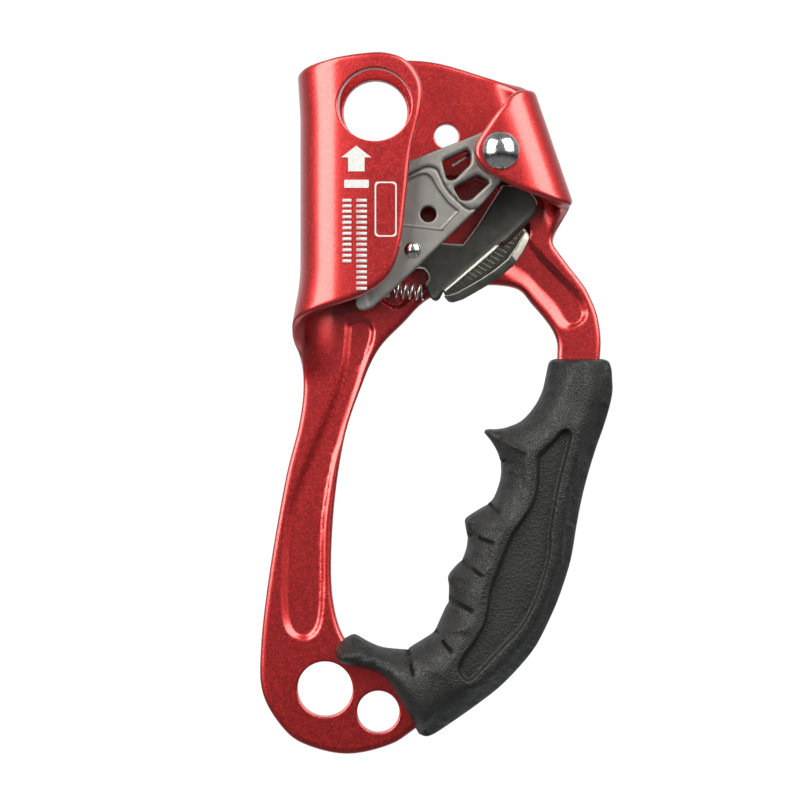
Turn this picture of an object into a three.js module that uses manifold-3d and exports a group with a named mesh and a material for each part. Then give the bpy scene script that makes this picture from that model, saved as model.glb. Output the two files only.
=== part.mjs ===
// Hand ascender (rope clamp with a handle), millimetres, +Z up, the front looks towards -Y.
// Origin: on the rope's axis, level with the cam axle.
import * as THREE from 'three';
import { mergeVertices } from 'three/addons/utils/BufferGeometryUtils.js';
import Module from 'manifold-3d';

const wasm = await Module();
wasm.setup();

// ---- driving dimensions ----
const SHEET = 4;                       // frame sheet thickness
const SHEET_MID = 9.5;                 // sheet's middle plane, behind and in front of the rope axis
const SHEET_OUT = SHEET_MID + SHEET / 2;
const SHEET_IN = SHEET_MID - SHEET / 2;
const GAP = 0.3;                       // clearance between pieces that touch
const RUNNING = 0.1;                   // radial clearance of a pin in its hole
const CHANNEL_X = 1.9;                 // where the rope channel's fold begins
const AXLE_X = 45.5;                   // cam axle, at Z = 0
const AXLE_R = 3;
const EAR_TILT = THREE.MathUtils.degToRad(18.9);  // the ear's fold leans from the vertical
const EAR_WALL = 13;                   // axle to the middle of the ear's side wall
const EAR_BEND = 7;                    // bend radius at mid sheet
const CAM_FRONT = -6;
const CAM_BACK = 2;
const CATCH_FRONT = 3;
const CATCH_BACK = 5;
const RIVET = [21.6, -26.7];           // catch rivet, X and Z
const RIVET_R = 1.6;

const paint = (color, roughness, metalness) => new THREE.MeshStandardMaterial({ color, roughness, metalness });
const RED = paint(0xb8242f, 0.42, 0.85);
const RUBBER = paint(0x232324, 0.85, 0);
const CAST = paint(0xa6a6a0, 0.5, 0.9);
const DARK_STEEL = paint(0x3b3d3c, 0.55, 0.8);
const BRIGHT_STEEL = paint(0xd2d3d4, 0.2, 1);
const SPRING_STEEL = paint(0x8d8f90, 0.3, 1);

const group = new THREE.Group();

// ---- helpers ----
function addPart(name, geometry, material) {
  const mesh = new THREE.Mesh(geometry, material);
  mesh.name = name;
  group.add(mesh);
}

// Six times the volume that triangles enclose, negative when they face inwards.
function signedVolume(positions, triangles) {
  const corner = (i) => new THREE.Vector3().fromArray(positions, 3 * i);
  let sum = 0;
  for (let i = 0; i < triangles.length; i += 3) {
    const [a, b, c] = [corner(triangles[i]), corner(triangles[i + 1]), corner(triangles[i + 2])];
    sum += a.dot(b.cross(c));
  }
  return sum;
}

// A closed geometry as a manifold-3d solid, facing outwards, degenerate triangles left out.
function toSolid(geometry) {
  const bare = new THREE.BufferGeometry();
  bare.setAttribute('position', geometry.getAttribute('position'));
  if (geometry.index) bare.setIndex(geometry.index);
  const merged = mergeVertices(bare, 1e-4);
  const index = merged.index.array;
  const triangles = [];
  for (let i = 0; i < index.length; i += 3) {
    const [a, b, c] = [index[i], index[i + 1], index[i + 2]];
    if (a !== b && b !== c && c !== a) triangles.push(a, b, c);
  }
  const positions = merged.getAttribute('position').array;
  if (signedVolume(positions, triangles) < 0) triangles.reverse();
  return new wasm.Manifold(new wasm.Mesh({
    numProp: 3,
    vertProperties: new Float32Array(positions),
    triVerts: new Uint32Array(triangles),
  }));
}

function toGeometry(solid) {
  const mesh = solid.getMesh();
  const geometry = new THREE.BufferGeometry();
  geometry.setAttribute('position', new THREE.BufferAttribute(new Float32Array(mesh.vertProperties), 3));
  geometry.setIndex(new THREE.BufferAttribute(new Uint32Array(mesh.triVerts), 1));
  geometry.computeVertexNormals();
  return geometry;
}

const joined = (...parts) => parts.reduce((a, b) => a.add(b));
const cut = (body, ...tools) => tools.reduce((a, b) => a.subtract(b), body);

// A flat shape drawn in X and Z, extruded from yFront back to yBack.
function slab(shape, yFront, yBack, curveSegments = 3) {
  const depth = yBack - yFront;
  const geometry = new THREE.ExtrudeGeometry(shape, { depth, bevelEnabled: false, curveSegments });
  return geometry.rotateX(Math.PI / 2).translate(0, yBack, 0);
}

// A smooth run of points after the path's current point.
const curveTo = (path, points) => path.splineThru(points.map(([x, z]) => new THREE.Vector2(x, z)));

function lineTo(path, points) {
  for (const [x, z] of points) path.lineTo(x, z);
  return path;
}

function corners(points) {
  const shape = new THREE.Shape();
  shape.moveTo(...points[0]);
  return lineTo(shape, points.slice(1));
}

function loop(points) {
  const shape = new THREE.Shape();
  shape.moveTo(...points[0]);
  return curveTo(shape, [...points.slice(1), points[0]]);
}

// A cylinder with its axis along Y.
function disc(x, z, radius, yFront, yBack, sides = 32) {
  const geometry = new THREE.CylinderGeometry(radius, radius, yBack - yFront, sides);
  return geometry.translate(x, (yFront + yBack) / 2, z);
}

// Value at t of a line through [t, value] knots.
function along(knots, t) {
  const last = knots.length - 1;
  const next = knots.findIndex(([k]) => k >= t);
  const i = next < 0 ? last : Math.max(1, next);
  const [t0, v0] = knots[i - 1];
  const [t1, v1] = knots[i];
  return v0 + (v1 - v0) * (t - t0) / (t1 - t0);
}

// A bent strip of sheet: columns across the bend, rows down it. place(t, v, w) gives a point at
// t along the section, v down the bend and w out from mid sheet; ends(t) gives [top, bottom].
function bentStrip(columns, rows, ends, place) {
  const positions = [];
  const faces = [];
  const at = (i, j, side) => (i * rows.length + j) * 2 + side;
  const quad = (a, b, c, d) => faces.push(a, b, c, a, c, d);
  for (const t of columns) {
    const [top, bottom] = ends(t);
    for (const f of rows) {
      const v = top + (bottom - top) * f;
      positions.push(...place(t, v, SHEET / 2), ...place(t, v, -SHEET / 2));
    }
  }
  const lastColumn = columns.length - 1;
  const lastRow = rows.length - 1;
  for (let i = 0; i < lastColumn; i++) {
    for (let j = 0; j < lastRow; j++) {
      quad(at(i, j, 0), at(i + 1, j, 0), at(i + 1, j + 1, 0), at(i, j + 1, 0));
      quad(at(i, j, 1), at(i, j + 1, 1), at(i + 1, j + 1, 1), at(i + 1, j, 1));
    }
    quad(at(i, 0, 0), at(i, 0, 1), at(i + 1, 0, 1), at(i + 1, 0, 0));
    quad(at(i, lastRow, 0), at(i + 1, lastRow, 0), at(i + 1, lastRow, 1), at(i, lastRow, 1));
  }
  for (let j = 0; j < lastRow; j++) {
    quad(at(0, j, 0), at(0, j + 1, 0), at(0, j + 1, 1), at(0, j, 1));
    quad(at(lastColumn, j, 0), at(lastColumn, j, 1), at(lastColumn, j + 1, 1), at(lastColumn, j + 1, 0));
  }
  const geometry = new THREE.BufferGeometry();
  geometry.setAttribute('position', new THREE.Float32BufferAttribute(positions, 3));
  geometry.setIndex(faces);
  return geometry;
}

// ---- frame: one bent sheet ----
const FLAP_HOLE = [11.2, 12.6, 10];    // X, Z, radius
const PLATE_HOLE = [11.2, 13, 9];
const TOP_HOLE = [31.2, 6.3, 3.45];
const MAIN_HOLE = [-3, -149.4, 7.8];
const FOOT_HOLE = [12, -155.8, 5.95];

// Point (n, e) of the ear: n away from the axle towards the side wall, e up along the fold.
function earPoint(n, e) {
  const c = Math.cos(EAR_TILT);
  const s = Math.sin(EAR_TILT);
  return [AXLE_X + n * c - e * s, n * s + e * c];
}
const EAR_TANGENT = EAR_WALL - EAR_BEND;
const EAR_TOP = [[0, 21.5], [5.6, 17.2], [11, 13.6], [16, 12.9], [27, 12.1]];
const EAR_BOTTOM = [
  [0, -26.5], [1.6, -25.9], [3.4, -24.4], [5.4, -21.9], [7.7, -19.4], [11, -18.9], [16, -19.4], [20, -19.5],
  [23.3, -18], [27, -15],
];

function backPlateOutline() {
  const shape = new THREE.Shape();
  shape.moveTo(CHANNEL_X, 25.6);
  curveTo(shape, [[10, 27.4], [20.4, 27.7], [30, 26.6], earPoint(EAR_TANGENT, EAR_TOP[0][1])]);
  lineTo(shape, [earPoint(EAR_TANGENT, EAR_BOTTOM[0][1]), [60.3, -24.6]]);
  curveTo(shape, [[64.5, -28.6], [70.7, -35.9], [74, -44.5], [74.5, -55.4]]);
  curveTo(shape, [[71.5, -72], [65.8, -92], [62.3, -112], [55, -130.5], [42, -146], [22.7, -160.4]]);
  curveTo(shape, [[15, -165.2], [3.6, -167.7], [-7.2, -165.6], [-14.3, -161.1], [-20.5, -150.8], [-21.1, -137.8]]);
  curveTo(shape, [[-18.7, -116.6], [-14.2, -90.5], [-10.4, -75], [-9.1, -64]]);
  lineTo(shape, [[CHANNEL_X, -64]]);
  return shape;
}

const HANDLE_OPENING = [
  [62.4, -56.1], [61.5, -49.1], [55.4, -41.1], [50.2, -36.4], [38, -35.9], [26.4, -39.4], [18.9, -46.4],
  [12, -53.8], [7.3, -63.9], [2.3, -79.3], [-0.8, -101.8], [-0.8, -124.3], [4.5, -137.8], [17, -142.3],
  [29, -137.5], [37.5, -125], [43, -109], [50, -96], [53.2, -81.5], [60.5, -69],
];

function frontFlap() {
  const shape = new THREE.Shape();
  shape.moveTo(CHANNEL_X, 25.9);
  curveTo(shape, [[7.6, 26.7], [14, 26.9], [19.9, 24.7], [23.8, 18.9], [23.8, 11.7]]);
  curveTo(shape, [[21.3, 0.5], [19.9, -11.7], [18.2, -25.6]]);
  curveTo(shape, [[14.9, -33.9], [8.8, -38.9], [CHANNEL_X, -41.6]]);
  return toSolid(slab(shape, -SHEET_OUT, -SHEET_IN));
}

// Channel fold: a half circle round the rope whose lower end opens out into the left limb.
const FOLD_LENGTH = Math.PI * SHEET_MID;
const FOLD_TOP = [
  [-1, 25.6], [0, 25.6], [8, 23.2], [14.9, 22.3], [21.3, 23.8], [26.7, 25.1], [FOLD_LENGTH, 25.9], [32, 26.2],
];
const FOLD_BOTTOM = [
  [-1, -64.5], [11, -64.5], [12.2, -56], [14.5, -51.8], [17.1, -47.3], [20.9, -45], [24.1, -43.6], [27.7, -42.3],
  [FOLD_LENGTH, -41.6], [32, -40.8],
];
const OPENING_STARTS = -43;            // Z where the fold begins to open out
const OPENING_ENDS = -64;

function channelMid(t, z) {
  const angle = Math.max(0, Math.min(FOLD_LENGTH, t)) / SHEET_MID;
  const past = t - angle * SHEET_MID;
  const flare = 1 + 0.12 * THREE.MathUtils.smoothstep(-z, 30, 47);
  const x = CHANNEL_X - SHEET_MID * flare * Math.sin(angle) + (t > 0 ? past : -past);
  const y = SHEET_MID * Math.cos(angle);
  const open = THREE.MathUtils.smoothstep(-z, -OPENING_STARTS, -OPENING_ENDS);
  return [x + (CHANNEL_X - t - x) * open, y + (SHEET_MID - y) * open];
}

function channelPoint(t, z, w) {
  const step = 0.1;
  const from = t <= 0 ? t - step : t >= FOLD_LENGTH ? t : t - step / 2;
  const [x0, y0] = channelMid(from, z);
  const [x1, y1] = channelMid(from + step, z);
  const [x, y] = channelMid(t, z);
  const length = Math.hypot(x1 - x0, y1 - y0);
  return [x + w * (y1 - y0) / length, y - w * (x1 - x0) / length, z];
}

function channelFold() {
  const columns = [-0.5, 0, 2.2, 4.4, 6.6, 8.8, 11, 12.2, 14.5, 17.1, 19.4, 21.7, 24.1, 26.9];
  columns.push(FOLD_LENGTH, FOLD_LENGTH + 0.5);
  const rows = [0, 0.6, 0.74, 0.8, 0.85, 0.9, 0.95, 1];
  const ends = (t) => [along(FOLD_TOP, t), along(FOLD_BOTTOM, t)];
  return toSolid(bentStrip(columns, rows, ends, channelPoint));
}

// Ear fold: back bend, side wall and front bend, leaning with the ear.
const BEND_LENGTH = EAR_BEND * Math.PI / 2;
const WALL_LENGTH = 2 * (SHEET_MID - EAR_BEND);
const EAR_LENGTH = 2 * BEND_LENGTH + WALL_LENGTH;

function earSection(t, w) {
  const centre = SHEET_MID - EAR_BEND;
  const back = Math.max(0, Math.min(BEND_LENGTH, t)) / EAR_BEND;
  const front = Math.max(0, Math.min(BEND_LENGTH, t - BEND_LENGTH - WALL_LENGTH)) / EAR_BEND;
  const flatEnd = Math.min(0, t) - Math.max(0, t - EAR_LENGTH);
  const angle = back + front;
  const wall = Math.max(0, Math.min(WALL_LENGTH, t - BEND_LENGTH));
  const n = EAR_TANGENT + (EAR_BEND + w) * Math.sin(angle) + flatEnd;
  const y = centre - wall + (EAR_BEND + w) * Math.cos(angle);
  return [n, y];
}

function earFold() {
  const columns = [-0.5, 0, 1.6, 3.4, 5.4, 7.7, BEND_LENGTH, BEND_LENGTH + WALL_LENGTH];
  const frontBend = [1.8, 4, 5.6, 7.3, 9.2, BEND_LENGTH, BEND_LENGTH + 0.5];
  columns.push(...frontBend.map((step) => BEND_LENGTH + WALL_LENGTH + step));
  const place = (t, e, w) => {
    const [n, y] = earSection(t, w);
    const [x, z] = earPoint(n, e);
    return [x, y, z];
  };
  const ends = (t) => {
    const inside = Math.max(0, Math.min(EAR_LENGTH, t));
    return [along(EAR_TOP, inside), along(EAR_BOTTOM, inside)];
  };
  return toSolid(bentStrip(columns, [0, 0.5, 1], ends, place));
}

function frontEar() {
  const shape = new THREE.Shape();
  shape.moveTo(...earPoint(EAR_TANGENT, 12.1));
  curveTo(shape, [[42.6, 7.9], [38.5, 0.6], [41.2, -5], [50.6, -10.4], earPoint(EAR_TANGENT, -15)]);
  return toSolid(slab(shape, -SHEET_OUT, -SHEET_IN));
}

function frame() {
  const outline = backPlateOutline();
  outline.holes.push(loop(HANDLE_OPENING));
  const back = toSolid(slab(outline, SHEET_IN, SHEET_OUT));
  const sheet = joined(back, channelFold(), frontFlap(), earFold(), frontEar());
  const hole = ([x, z, r], yFront, yBack) => toSolid(disc(x, z, r, yFront, yBack, 40));
  const backHoles = [PLATE_HOLE, TOP_HOLE, MAIN_HOLE, FOOT_HOLE].map((place) => hole(place, 0, 20));
  return cut(sheet, hole(FLAP_HOLE, -20, 0), hole([AXLE_X, 0, AXLE_R + RUNNING], -20, 20), ...backHoles);
}
addPart('frame', toGeometry(frame()), RED);

// ---- grip: rubber moulded over the right limb ----
const GRIP_FRONT = -3.5;
const GRIP_BACK = 22.5;

function gripOutline() {
  const shape = new THREE.Shape();
  shape.moveTo(60.6, -55.6);
  curveTo(shape, [[59.3, -60.4], [56, -69.8], [52.4, -73.8], [48.1, -75.9], [42.5, -76.9]]);
  curveTo(shape, [[46, -84], [46.3, -90], [43.2, -97], [37, -101.5], [36.9, -108.5], [32.5, -116.5]]);
  curveTo(shape, [[31.7, -123.5], [27.5, -133.5], [19.5, -138.4], [10, -136.6], [3.5, -134.6]]);
  curveTo(shape, [[0.4, -137], [0.6, -140.6], [3.5, -142.4]]);
  curveTo(shape, [[9.5, -143.5], [15, -147.2], [19.8, -154.9], [23.8, -162.2]]);
  curveTo(shape, [[32.8, -158.7], [46.6, -148.4], [56.6, -136.9], [63.2, -122.7], [67.2, -109], [69.3, -96]]);
  curveTo(shape, [[73.3, -81.7], [77.2, -69.8], [77.8, -62], [76.8, -55.8]]);
  return shape;
}

function grip() {
  const body = slab(gripOutline(), GRIP_FRONT, GRIP_BACK);
  const outline = backPlateOutline();
  outline.holes.push(loop(HANDLE_OPENING));
  const slot = new THREE.ExtrudeGeometry(outline, {
    depth: SHEET, bevelThickness: GAP, bevelSize: GAP, bevelSegments: 1, curveSegments: 3,
  });
  slot.rotateX(Math.PI / 2).translate(0, SHEET_OUT, 0);
  return cut(toSolid(body), toSolid(slot));
}
addPart('grip', toGeometry(grip()), RUBBER);

// ---- cam: toothed arm on the axle ----
const CAM_EYE_R = 8.2;
const BUSH_R = 4;
const CAM_HOLE = [25.9, -16.8, 2.2];
const TEETH = 13;
const TOOTH_DEPTH = 1.1;

function camOutline() {
  const shape = new THREE.Shape();
  shape.moveTo(13.5, -4.2);
  curveTo(shape, [[20.9, -2.5], [28, 0.2], [34.9, 2.7], [39.4, 5.5]]);
  shape.absarc(AXLE_X, 0, CAM_EYE_R, 2.4, -1.45, true);
  curveTo(shape, [[40.7, -13.9], [30, -24.3], [22.1, -31.9], [16.5, -37], [10.6, -42.3]]);
  curveTo(shape, [[8.4, -43.2], [5.9, -42]]);
  const face = new THREE.QuadraticBezierCurve(
    new THREE.Vector2(5.8, -41.6), new THREE.Vector2(5.2, -19), new THREE.Vector2(11.6, -5));
  for (let i = 0; i < TEETH; i++) {
    const tip = face.getPoint(i / TEETH);
    const root = face.getPoint((i + 0.8) / TEETH);
    shape.lineTo(tip.x, tip.y);
    shape.lineTo(root.x + TOOTH_DEPTH, root.y);
  }
  return shape;
}

const UPPER_WINDOW = [[30.2, -2.4], [31.3, -6.9], [33, -6.9], [37.3, -2.8], [37.3, -0.4], [36.2, 0.6]];
const LOWER_WINDOW = [[33.4, -9.1], [35.6, -12.9], [37.8, -12.4], [42, -8.4], [42, -7.6], [39.2, -6.4]];
const SPRING_FROM = [15.6, -37.1];     // spring ends, X and Z, on the cam and on the catch
const SPRING_TO = [25, -37.9];
const SPRING_Y = 4;

// Seat for the small spring, on the back of the cam's tail.
function springSeat() {
  const seat = new THREE.BoxGeometry(3, 4.6, 5).rotateY(0.08);
  return toSolid(seat.translate(SPRING_FROM[0] - 1.5 - GAP, CAM_BACK + 1.9, SPRING_FROM[1] + 0.1));
}

function cam() {
  const outline = camOutline();
  outline.holes.push(corners(UPPER_WINDOW), corners(LOWER_WINDOW));
  const body = joined(toSolid(slab(outline, CAM_FRONT, CAM_BACK, 4)), springSeat());
  const bores = [[AXLE_X, 0, BUSH_R + RUNNING], [...RIVET, RIVET_R + RUNNING], CAM_HOLE];
  return cut(body, ...bores.map(([x, z, r]) => toSolid(disc(x, z, r, -10, 4))));
}
addPart('cam', toGeometry(cam()), CAST);

// ---- axle and the pieces on it ----
// A turned piece with its axis along Y at (x, z); profile points are [radius, y].
function turned(profile, x, z, sides = 32) {
  const geometry = new THREE.LatheGeometry(profile.map(([r, y]) => new THREE.Vector2(r, y)), sides);
  return toGeometry(toSolid(geometry.translate(x, 0, z)));
}

function axleProfile() {
  const headFace = -SHEET_OUT - GAP;
  const tailFace = SHEET_OUT + GAP;
  return [
    [0, headFace - 2.6], [2.2, headFace - 2.4], [4, headFace - 1.7], [5.1, headFace - 0.5], [5.1, headFace],
    [AXLE_R, headFace], [AXLE_R, tailFace], [4.6, tailFace], [4.6, tailFace + 0.5], [3.6, tailFace + 1.5],
    [0, tailFace + 1.9],
  ];
}
const ring = (inner, outer, y0, y1) => [[inner, y0], [outer, y0], [outer, y1], [inner, y1], [inner, y0]];

addPart('cam_axle', turned(axleProfile(), AXLE_X, 0), BRIGHT_STEEL);
addPart('cam_bush', turned(ring(AXLE_R + RUNNING, BUSH_R, CAM_FRONT, CAM_BACK), AXLE_X, 0), SPRING_STEEL);
const washer = ring(AXLE_R + RUNNING, 7, -SHEET_IN + GAP, CAM_FRONT - GAP);
const sleeve = ring(AXLE_R + RUNNING, 3.9, CAM_BACK + GAP, SHEET_IN - GAP);
addPart('front_washer', turned(washer, AXLE_X, 0), BRIGHT_STEEL);
addPart('spring_sleeve', turned(sleeve, AXLE_X, 0), SPRING_STEEL);

// ---- springs: round wire along a path ----
class SpringPath extends THREE.Curve {
  constructor(place) {
    super();
    this.place = place;
  }

  getPoint(t) {
    return this.place(t);
  }
}

function wire(place, radius, steps, sides = 6) {
  const section = new THREE.Shape();
  for (let i = 0; i < sides; i++) {
    const angle = 2 * Math.PI * i / sides;
    const [x, y] = [radius * Math.cos(angle), radius * Math.sin(angle)];
    if (i === 0) section.moveTo(x, y);
    else section.lineTo(x, y);
  }
  const path = new SpringPath(place);
  return new THREE.ExtrudeGeometry(section, { steps, bevelEnabled: false, extrudePath: path });
}

// Torsion spring: turns round the sleeve, one leg behind the cam, one leg against the side wall.
const TORSION_R = 4.6;
const TORSION_WIRE = 0.4;
const TORSION_TURNS = 3.6;
const TORSION_FRONT = 2.9;
const TORSION_BACK = 6.9;
const CAM_LEG_ANGLE = THREE.MathUtils.degToRad(124);
const CAM_LEG = 14;
const WALL_LEG = 8;

function torsionPoint(t) {
  const coil = TORSION_R * TORSION_TURNS * 2 * Math.PI;
  const s = t * (CAM_LEG + coil + WALL_LEG) - CAM_LEG;
  const turn = Math.max(0, Math.min(coil, s)) / TORSION_R;
  const extra = s < 0 ? s : Math.max(0, s - coil);
  const angle = CAM_LEG_ANGLE - turn;
  const x = TORSION_R * Math.cos(angle) + extra * Math.sin(angle);
  const z = TORSION_R * Math.sin(angle) - extra * Math.cos(angle);
  const y = TORSION_FRONT + (TORSION_BACK - TORSION_FRONT) * turn * TORSION_R / coil;
  return new THREE.Vector3(AXLE_X + x, y, z);
}
addPart('cam_spring', wire(torsionPoint, TORSION_WIRE, 96), SPRING_STEEL);

// Compression spring between the cam's tail and the catch.
const PUSH_R = 1.95;
const PUSH_WIRE = 0.33;
const PUSH_TURNS = 5;

function pushPoint(t) {
  const [x0, z0] = SPRING_FROM;
  const [x1, z1] = SPRING_TO;
  const length = Math.hypot(x1 - x0, z1 - z0);
  const [dx, dz] = [(x1 - x0) / length, (z1 - z0) / length];
  const angle = 2 * Math.PI * PUSH_TURNS * t;
  const reach = PUSH_WIRE + (length - 2 * PUSH_WIRE) * t;
  const side = PUSH_R * Math.cos(angle);
  const y = SPRING_Y + PUSH_R * Math.sin(angle);
  return new THREE.Vector3(x0 + dx * reach - dz * side, y, z0 + dz * reach + dx * side);
}
addPart('catch_spring', wire(pushPoint, PUSH_WIRE, 60), SPRING_STEEL);

// ---- safety catch: steel plate behind the cam with a thumb tab bent forward ----
const BEND_START = [30.9, -38.6];      // lower end of the tab's bend line
const BEND_TILT = Math.atan2(12.8, 14.7);

function catchOutline() {
  return corners([
    [25.3, -35.4], [26.1, -34.1], [24.9, -31.4], [23, -31.2], [19.3, -31], [16.9, -28], [17.2, -24.6], [20.3, -22.2],
    [25, -22.6], [29.4, -24], [35.7, -24.5], [39.6, -19.2], [42.8, -14.1], [46.7, -7.9], [50, -8.2], [53.5, -9.5],
    [55.8, -12], [56.1, -14.8], [54.3, -17.7], [50.5, -21.7], [45.6, -25.8], BEND_START, [28.5, -40.1], [27.4, -40.3],
    [26.5, -39.4],
  ]);
}

// The tab's mid line in section, [out from the bend line, Y], with the widths either end.
const TAB_SECTION = [
  [-0.6, 4, 0, 19.5], [0.4, 3.9, 0, 19.6], [1.4, 3.2, 0, 19.8], [2, 2, 0, 20], [2.6, -2, -0.3, 22],
  [3.4, -7, -0.7, 24.6], [4, -11, -1, 26.6], [4.7, -13, -1.1, 27], [6, -13.8, -1.1, 26.4], [7.2, -13.2, -1, 25],
];

function tabRow([q, y], next, previous, low, high) {
  const [dq, dy] = [next[0] - previous[0], next[1] - previous[1]];
  const length = Math.hypot(dq, dy);
  const half = (CATCH_BACK - CATCH_FRONT) / 2;
  const [c, s] = [Math.cos(BEND_TILT), Math.sin(BEND_TILT)];
  const point = (l, side) => {
    const out = q + side * half * dy / length;
    return [BEND_START[0] + l * c + out * s, y - side * half * dq / length, BEND_START[1] + l * s - out * c];
  };
  return [point(low, 1), point(high, 1), point(high, -1), point(low, -1)];
}

function thumbTab() {
  const positions = [];
  const faces = [];
  TAB_SECTION.forEach((row, i) => {
    const next = TAB_SECTION[Math.min(i + 1, TAB_SECTION.length - 1)];
    const previous = TAB_SECTION[Math.max(i - 1, 0)];
    for (const point of tabRow(row, next, previous, row[2], row[3])) positions.push(...point);
  });
  const rows = TAB_SECTION.length;
  for (let i = 0; i < rows - 1; i++) {
    for (let k = 0; k < 4; k++) {
      const [a, b] = [i * 4 + k, i * 4 + (k + 1) % 4];
      faces.push(a, b, b + 4, a, b + 4, a + 4);
    }
  }
  const end = (rows - 1) * 4;
  faces.push(0, 2, 1, 0, 3, 2, end, end + 1, end + 2, end, end + 2, end + 3);
  const geometry = new THREE.BufferGeometry();
  geometry.setAttribute('position', new THREE.Float32BufferAttribute(positions, 3));
  geometry.setIndex(faces);
  return toSolid(geometry);
}

function catchPlate() {
  const plate = toSolid(slab(catchOutline(), CATCH_FRONT, CATCH_BACK));
  return cut(joined(plate, thumbTab()), toSolid(disc(...RIVET, RIVET_R + RUNNING, 0, 8)));
}
addPart('catch_plate', toGeometry(catchPlate()), DARK_STEEL);

// ---- catch rivet: domed in front, peened over a washer behind ----
function rivetProfile() {
  const head = CAM_FRONT - GAP;
  const tail = CATCH_BACK + 1.2;
  return [
    [0, head - 1], [1.3, head - 0.8], [2.3, head - 0.1], [2.3, head], [RIVET_R, head], [RIVET_R, tail],
    [2.3, tail], [2, tail + 0.6], [0, tail + 0.8],
  ];
}
addPart('catch_rivet', turned(rivetProfile(), ...RIVET), BRIGHT_STEEL);
const spacer = ring(RIVET_R + RUNNING, 3.4, CAM_BACK + GAP, CATCH_FRONT - GAP);
const tailWasher = ring(RIVET_R + RUNNING, 3.2, CATCH_BACK + GAP, CATCH_BACK + 1);
addPart('catch_spacer', turned(spacer, ...RIVET), SPRING_STEEL);
addPart('rivet_washer', turned(tailWasher, ...RIVET), SPRING_STEEL);

export default group;
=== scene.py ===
import math

import bmesh
import bpy
import numpy as np
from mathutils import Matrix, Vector, kdtree
from mathutils.geometry import delaunay_2d_cdt


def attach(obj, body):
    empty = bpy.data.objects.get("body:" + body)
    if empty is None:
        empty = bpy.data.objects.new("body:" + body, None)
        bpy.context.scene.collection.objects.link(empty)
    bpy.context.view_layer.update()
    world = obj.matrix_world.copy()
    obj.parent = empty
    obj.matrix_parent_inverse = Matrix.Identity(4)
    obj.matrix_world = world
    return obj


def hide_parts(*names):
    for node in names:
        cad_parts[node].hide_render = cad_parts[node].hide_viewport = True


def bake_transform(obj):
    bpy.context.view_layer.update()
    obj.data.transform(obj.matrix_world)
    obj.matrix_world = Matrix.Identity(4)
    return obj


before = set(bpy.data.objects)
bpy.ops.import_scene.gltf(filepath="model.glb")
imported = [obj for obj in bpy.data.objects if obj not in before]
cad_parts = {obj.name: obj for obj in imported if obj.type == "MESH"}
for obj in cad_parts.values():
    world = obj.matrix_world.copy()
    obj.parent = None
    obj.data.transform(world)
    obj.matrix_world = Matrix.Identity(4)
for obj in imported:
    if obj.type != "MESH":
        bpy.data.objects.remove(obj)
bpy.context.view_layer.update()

# Lengths are millimetres in the CAD model's frame until a mesh is written in metres.
MM = 0.001
SHEET = 4.0
SHEET_MID = 9.5
CHANNEL_X = 1.9
AXLE = (45.5, 0.0)
AXLE_BORE = 3.1
EAR_TILT = math.radians(18.9)
EAR_COS, EAR_SIN = math.cos(EAR_TILT), math.sin(EAR_TILT)
EAR_WALL = 13.0
EAR_BEND = 7.0
RIVET = (21.6, -26.7)
RIVET_BORE = 1.7
SPRING_FROM = (15.6, -37.1)
SPRING_TO = (25.0, -37.9)
GRIP_HALF = 13.0


# ---- outlines ----

def lengths_along(points):
    """Length travelled at each point of a run."""
    return np.concatenate([[0], np.cumsum(np.linalg.norm(np.diff(points, axis=0), axis=1))])


def through(points, spacing):
    """Points about `spacing` apart along a smooth open curve through the given ones."""
    points = np.array(points, float)
    padded = np.vstack([points[:1], points, points[-1:]])
    t = np.linspace(0, 1, 33)[:-1, None]
    dense = []
    for before, a, b, after in zip(padded, padded[1:], padded[2:], padded[3:]):
        dense.append(0.5 * (2 * a + (b - before) * t + (2 * before - 5 * a + 4 * b - after) * t ** 2
                            + (3 * a - before - 3 * b + after) * t ** 3))
    dense = np.vstack(dense + [points[-1:]])
    travelled = lengths_along(dense)
    count = max(1, round(travelled[-1] / spacing))
    at = np.linspace(0, travelled[-1], count + 1)
    return np.column_stack([np.interp(at, travelled, dense[:, k]) for k in (0, 1)])


def chain(runs, spacing):
    """One closed loop from smooth runs that meet at corners."""
    return np.vstack([through(run, spacing)[:-1] for run in runs])


def closed(points, spacing):
    """A closed smooth loop with no corner."""
    count = len(points)
    around = [points[i % count] for i in range(-2, count + 3)]
    run = through(around, spacing)
    first = np.argmin(np.linalg.norm(run[:len(run) // 2] - points[0], axis=1))
    rest = run[first + 2:]
    last = first + 2 + np.argmin(np.linalg.norm(rest - points[0], axis=1))
    return run[first:last]


def circle(centre, radius, spacing):
    count = max(24, round(2 * math.pi * radius / spacing))
    angle = np.linspace(0, 2 * math.pi, count, endpoint=False)
    return np.column_stack([centre[0] + radius * np.cos(angle), centre[1] + radius * np.sin(angle)])


def rounded(corners, radius, spacing=0.35):
    """A closed polygon with its corners rounded."""
    loop = []
    count = len(corners)
    for i, corner in enumerate(corners):
        corner = np.array(corner, float)
        to_last = np.array(corners[i - 1]) - corner
        to_next = np.array(corners[(i + 1) % count]) - corner
        reach = min(radius, np.linalg.norm(to_last) * 0.45, np.linalg.norm(to_next) * 0.45)
        start = corner + to_last / np.linalg.norm(to_last) * reach
        end = corner + to_next / np.linalg.norm(to_next) * reach
        for t in np.linspace(0, 1, 6):
            loop.append((1 - t) ** 2 * start + 2 * t * (1 - t) * corner + t ** 2 * end)
    return chain([loop + [loop[0]]], spacing)


def smoothstep(x, low, high):
    """Rises smoothly from 0 to 1 as x goes from low to high."""
    t = np.clip((x - low) / (high - low), 0, 1)
    return t * t * (3 - 2 * t)


def ramp(x, high):
    """Rises straight from 0 to 1 as x goes from 0 to high."""
    return np.clip(x / high, 0, 1)


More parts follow.
